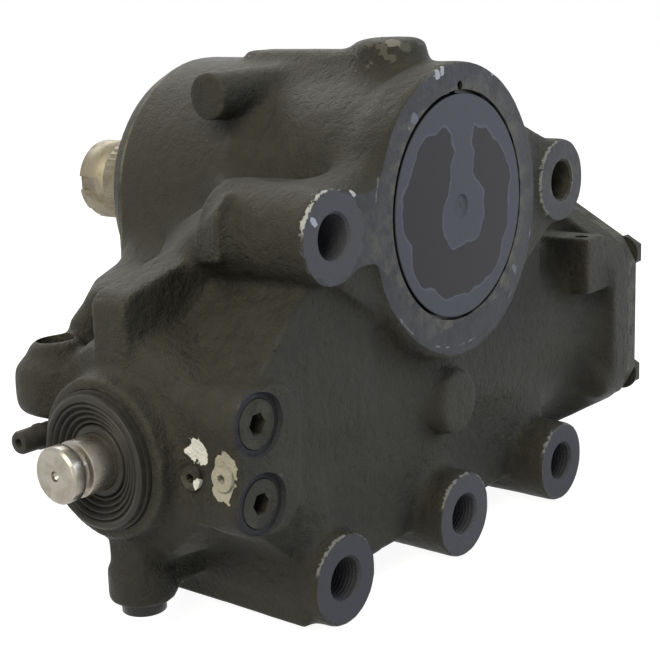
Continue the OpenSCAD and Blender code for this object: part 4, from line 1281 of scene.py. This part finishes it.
class GEAR_OT_plugs(bpy.types.Operator):
    """Finishes the plugs, screws and the bleed nipple"""

    bl_idname = "gear.plugs"
    bl_label = "Plugs and screws"

    def execute(self, context):
        """Blackens or paints each plug, and makes the cap."""
        fittings = context.scene.gear_fittings
        settings = context.scene.gear_casting
        black = plain_metal("black_plugs", fittings.plug_black, 0.35, 0.3)
        for node in ("bottom_plug", "bleed_nipple"):
            finish_node(node, black, 0.4 * MM)
        finish_node("channel_plugs", painted_casting("plug_paint", settings), 0.5 * MM)
        second, first = [(low + high) / 2 for low, high in solids_of("limiter_screws")]
        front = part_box("limiter_screws")[0].x
        # The white mark on the first screw's side is a painted highlight; the beige one on the second screw is
        # marking paint
        marks = [((front, first.y - 5 * MM, first.z - 2 * MM), 3.4 * MM, 0.4, WHITE_DAUB_AND_HIGHLIGHT),
                 ((front, second.y, second.z), 7 * MM, 0.1, BEIGE_DAUB)]
        finish_node("limiter_screws", painted_casting("screw_paint", settings, marks=marks), 0.4 * MM)
        cap = bleed_cap()
        shade(cap)
        cap.data.materials.append(black_rubber("cap_plastic", fittings.rubber, 0.45))
        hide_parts("bleed_cap")
        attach(cap, "housing")
        return {"FINISHED"}


class GEAR_OT_inner(bpy.types.Operator):
    """Finishes the pieces inside: worm, valve, piston, balls, bearings and seals"""

    bl_idname = "gear.inner"
    bl_label = "Inner pieces"

    def execute(self, context):
        """Gives each inner piece its steel, rubber or polymer."""
        rubber = context.scene.gear_fittings.rubber
        finishes = {
            plain_metal("ground_steel", (0.42, 0.42, 0.43), 0.28, 1.0): ("worm", "piston", "tube_clamp"),
            plain_metal("bearing_steel", (0.62, 0.62, 0.63), 0.16, 1.0): (
                "front_bearing_race", "front_needles", "rear_bearing_race", "rear_needles",
                "worm_bearing_race", "worm_bearing_balls", "recirculating_balls"),
            plain_metal("spring_steel", (0.20, 0.20, 0.21), 0.34, 1.0): (
                "output_seal_ring", "worm_bearing_nut", "input_seal_ring", "worm_pin", "torsion_bar",
                "input_pin", "ball_return_tube", "tube_clamp_screws"),
            black_rubber("seal_rubber", rubber, 0.42): (
                "side_cover_seal", "end_cover_seal", "output_seal", "output_dust_seal", "input_seal",
                "piston_ring_backing"),
            plain_metal("ring_polymer", (0.30, 0.20, 0.10), 0.45, 0.0): ("valve_rings", "piston_ring"),
        }
        for material, nodes in finishes.items():
            for node in nodes:
                finish_node(node, material)
        return {"FINISHED"}


# Stage

def make_camera(settings):
    """The camera at the photograph's angle."""
    a, e = settings.azimuth, settings.elevation
    back = Vector((math.sin(a) * math.cos(e), -math.cos(a) * math.cos(e), math.sin(e)))
    right = Vector((math.cos(a), math.sin(a), 0))
    up = back.cross(right)
    c, s = math.cos(settings.roll), math.sin(settings.roll)
    turn = Matrix((c * right + s * up, c * up - s * right, back)).transposed().to_4x4()
    place = back * settings.distance + right * settings.offset_right + up * settings.offset_up
    data = bpy.data.cameras.new("camera")
    data.lens = settings.lens
    data.sensor_width = 36
    data.clip_start = 0.01
    camera = bpy.data.objects.new("camera", data)
    bpy.context.scene.collection.objects.link(camera)
    camera.matrix_world = Matrix.Translation(place) @ turn
    bpy.context.scene.camera = camera


# Soft lamps that all aim at the gear's middle: name, place, size, power and colour
LAMPS = [
    ("top_left", (-1.5, -0.3, 1.3), (1.2, 1.2), 31, (1.0, 0.93, 0.72)),
    ("left", (-2.0, -0.4, 0.1), (1.4, 0.6), 4, (1.0, 0.95, 0.80)),
    ("front_right", (1.0, -1.15, 0.5), (1.2, 1.0), 14.5, (0.80, 0.87, 1.0)),
    ("back_top", (0.8, 1.6, 1.3), (1.6, 1.2), 18, (1.0, 0.99, 0.96)),
]


def make_lamp(name, place, size, power, colour):
    """One wide lamp."""
    data = bpy.data.lights.new(name, "AREA")
    data.shape = "RECTANGLE"
    data.size, data.size_y = size
    data.energy = power
    data.color = colour
    lamp = bpy.data.objects.new(name, data)
    bpy.context.scene.collection.objects.link(lamp)
    lamp.location = place
    away = Vector(place) - (CAD_LOW + CAD_HIGH) / 2
    lamp.rotation_euler = away.to_track_quat("Z", "Y").to_euler()


def seen_directly(tree):
    """1 for rays from the camera, and for those that mirrors and glass send on."""
    path = tree.nodes.new("ShaderNodeLightPath").outputs
    shown = math_node(tree, "MAXIMUM", path["Is Camera Ray"], path["Is Glossy Ray"])
    return math_node(tree, "MAXIMUM", shown, path["Is Transmission Ray"])


def make_floor(settings):
    """A wide pale floor that shows white where it is lit, and keeps the gear's shadow."""
    reach = 8.0
    level = CAD_LOW.z - 1.5 * MM
    corners = [(x * reach, y * reach, level) for x, y in ((-1, -1), (1, -1), (1, 1), (-1, 1))]
    mesh = bpy.data.meshes.new("floor")
    mesh.from_pydata(corners, [], [(0, 1, 2, 3)])
    floor = new_piece("floor", mesh)
    material = bpy.data.materials.new("floor")
    material.use_nodes = True
    tree = material.node_tree
    tree.nodes.clear()
    matt = add(tree, "BsdfDiffuse", {"Color": rgba(settings.floor)})
    soft = add(tree, "BsdfDiffuse", {"Color": (0.34, 0.34, 0.34, 1)})
    glow = add(tree, "Emission", {"Color": (1, 1, 1, 1), "Strength": 0.93})
    shown = add(tree, "AddShader", {0: soft.outputs[0], 1: glow.outputs[0]})
    mixed = add(tree, "MixShader", {0: seen_directly(tree), 1: matt.outputs[0], 2: shown.outputs[0]})
    out = tree.nodes.new("ShaderNodeOutputMaterial")
    tree.links.new(mixed.outputs[0], out.inputs["Surface"])
    mesh.materials.append(material)


def make_world():
    """White surroundings that light the gear only softly."""
    world = bpy.data.worlds.new("studio")
    bpy.context.scene.world = world
    world.use_nodes = True
    tree = world.node_tree
    tree.nodes.clear()
    white = add(tree, "Background", {"Color": (1, 1, 1, 1), "Strength": 1.0})
    soft = add(tree, "Background", {"Color": (0.93, 0.96, 1.0, 1), "Strength": 0.26})
    mixed = add(tree, "MixShader", {0: seen_directly(tree), 1: soft.outputs[0], 2: white.outputs[0]})
    out = tree.nodes.new("ShaderNodeOutputWorld")
    tree.links.new(mixed.outputs[0], out.inputs["Surface"])


class GEAR_OT_stage(bpy.types.Operator):
    """Sets up the camera, lamps, floor and white surroundings"""

    bl_idname = "gear.stage"
    bl_label = "Stage"

    def execute(self, context):
        """Makes the stage."""
        settings = context.scene.gear_stage
        context.scene.view_settings.view_transform = "Standard"
        make_camera(settings)
        for lamp in LAMPS:
            make_lamp(*lamp)
        make_floor(settings)
        make_world()
        return {"FINISHED"}


class GEAR_PT_panel(bpy.types.Panel):
    """Lists the steps that dress the gear"""

    bl_label = "Steering gear"
    bl_idname = "GEAR_PT_panel"
    bl_space_type = "VIEW_3D"
    bl_region_type = "UI"
    bl_category = "Steering gear"

    def draw(self, context):
        """Shows a button for each step."""
        for operator in OPERATORS:
            self.layout.operator(operator.bl_idname)


GROUP_PROPERTIES = {
    "gear_casting": CastingSettings,
    "gear_fittings": FittingSettings,
    "gear_stage": StageSettings,
}
OPERATORS = (GEAR_OT_stage, GEAR_OT_housing, GEAR_OT_covers, GEAR_OT_output, GEAR_OT_input, GEAR_OT_plugs,
             GEAR_OT_inner)


def register():
    """Registers the settings, the steps and the panel."""
    for item in (*GROUP_PROPERTIES.values(), *OPERATORS, GEAR_PT_panel):
        bpy.utils.register_class(item)
    for name, group in GROUP_PROPERTIES.items():
        setattr(bpy.types.Scene, name, bpy.props.PointerProperty(type=group))


def unregister():
    """Takes back what register made."""
    for name in GROUP_PROPERTIES:
        delattr(bpy.types.Scene, name)
    for item in (GEAR_PT_panel, *OPERATORS, *GROUP_PROPERTIES.values()):
        bpy.utils.unregister_class(item)


def main():
    """Dresses the gear step by step and writes its sizes."""
    register()
    bpy.ops.gear.stage()
    bpy.ops.gear.housing()
    bpy.ops.gear.covers()
    bpy.ops.gear.output()
    bpy.ops.gear.input()
    bpy.ops.gear.plugs()
    bpy.ops.gear.inner()


if __name__ == "__main__":
    main()
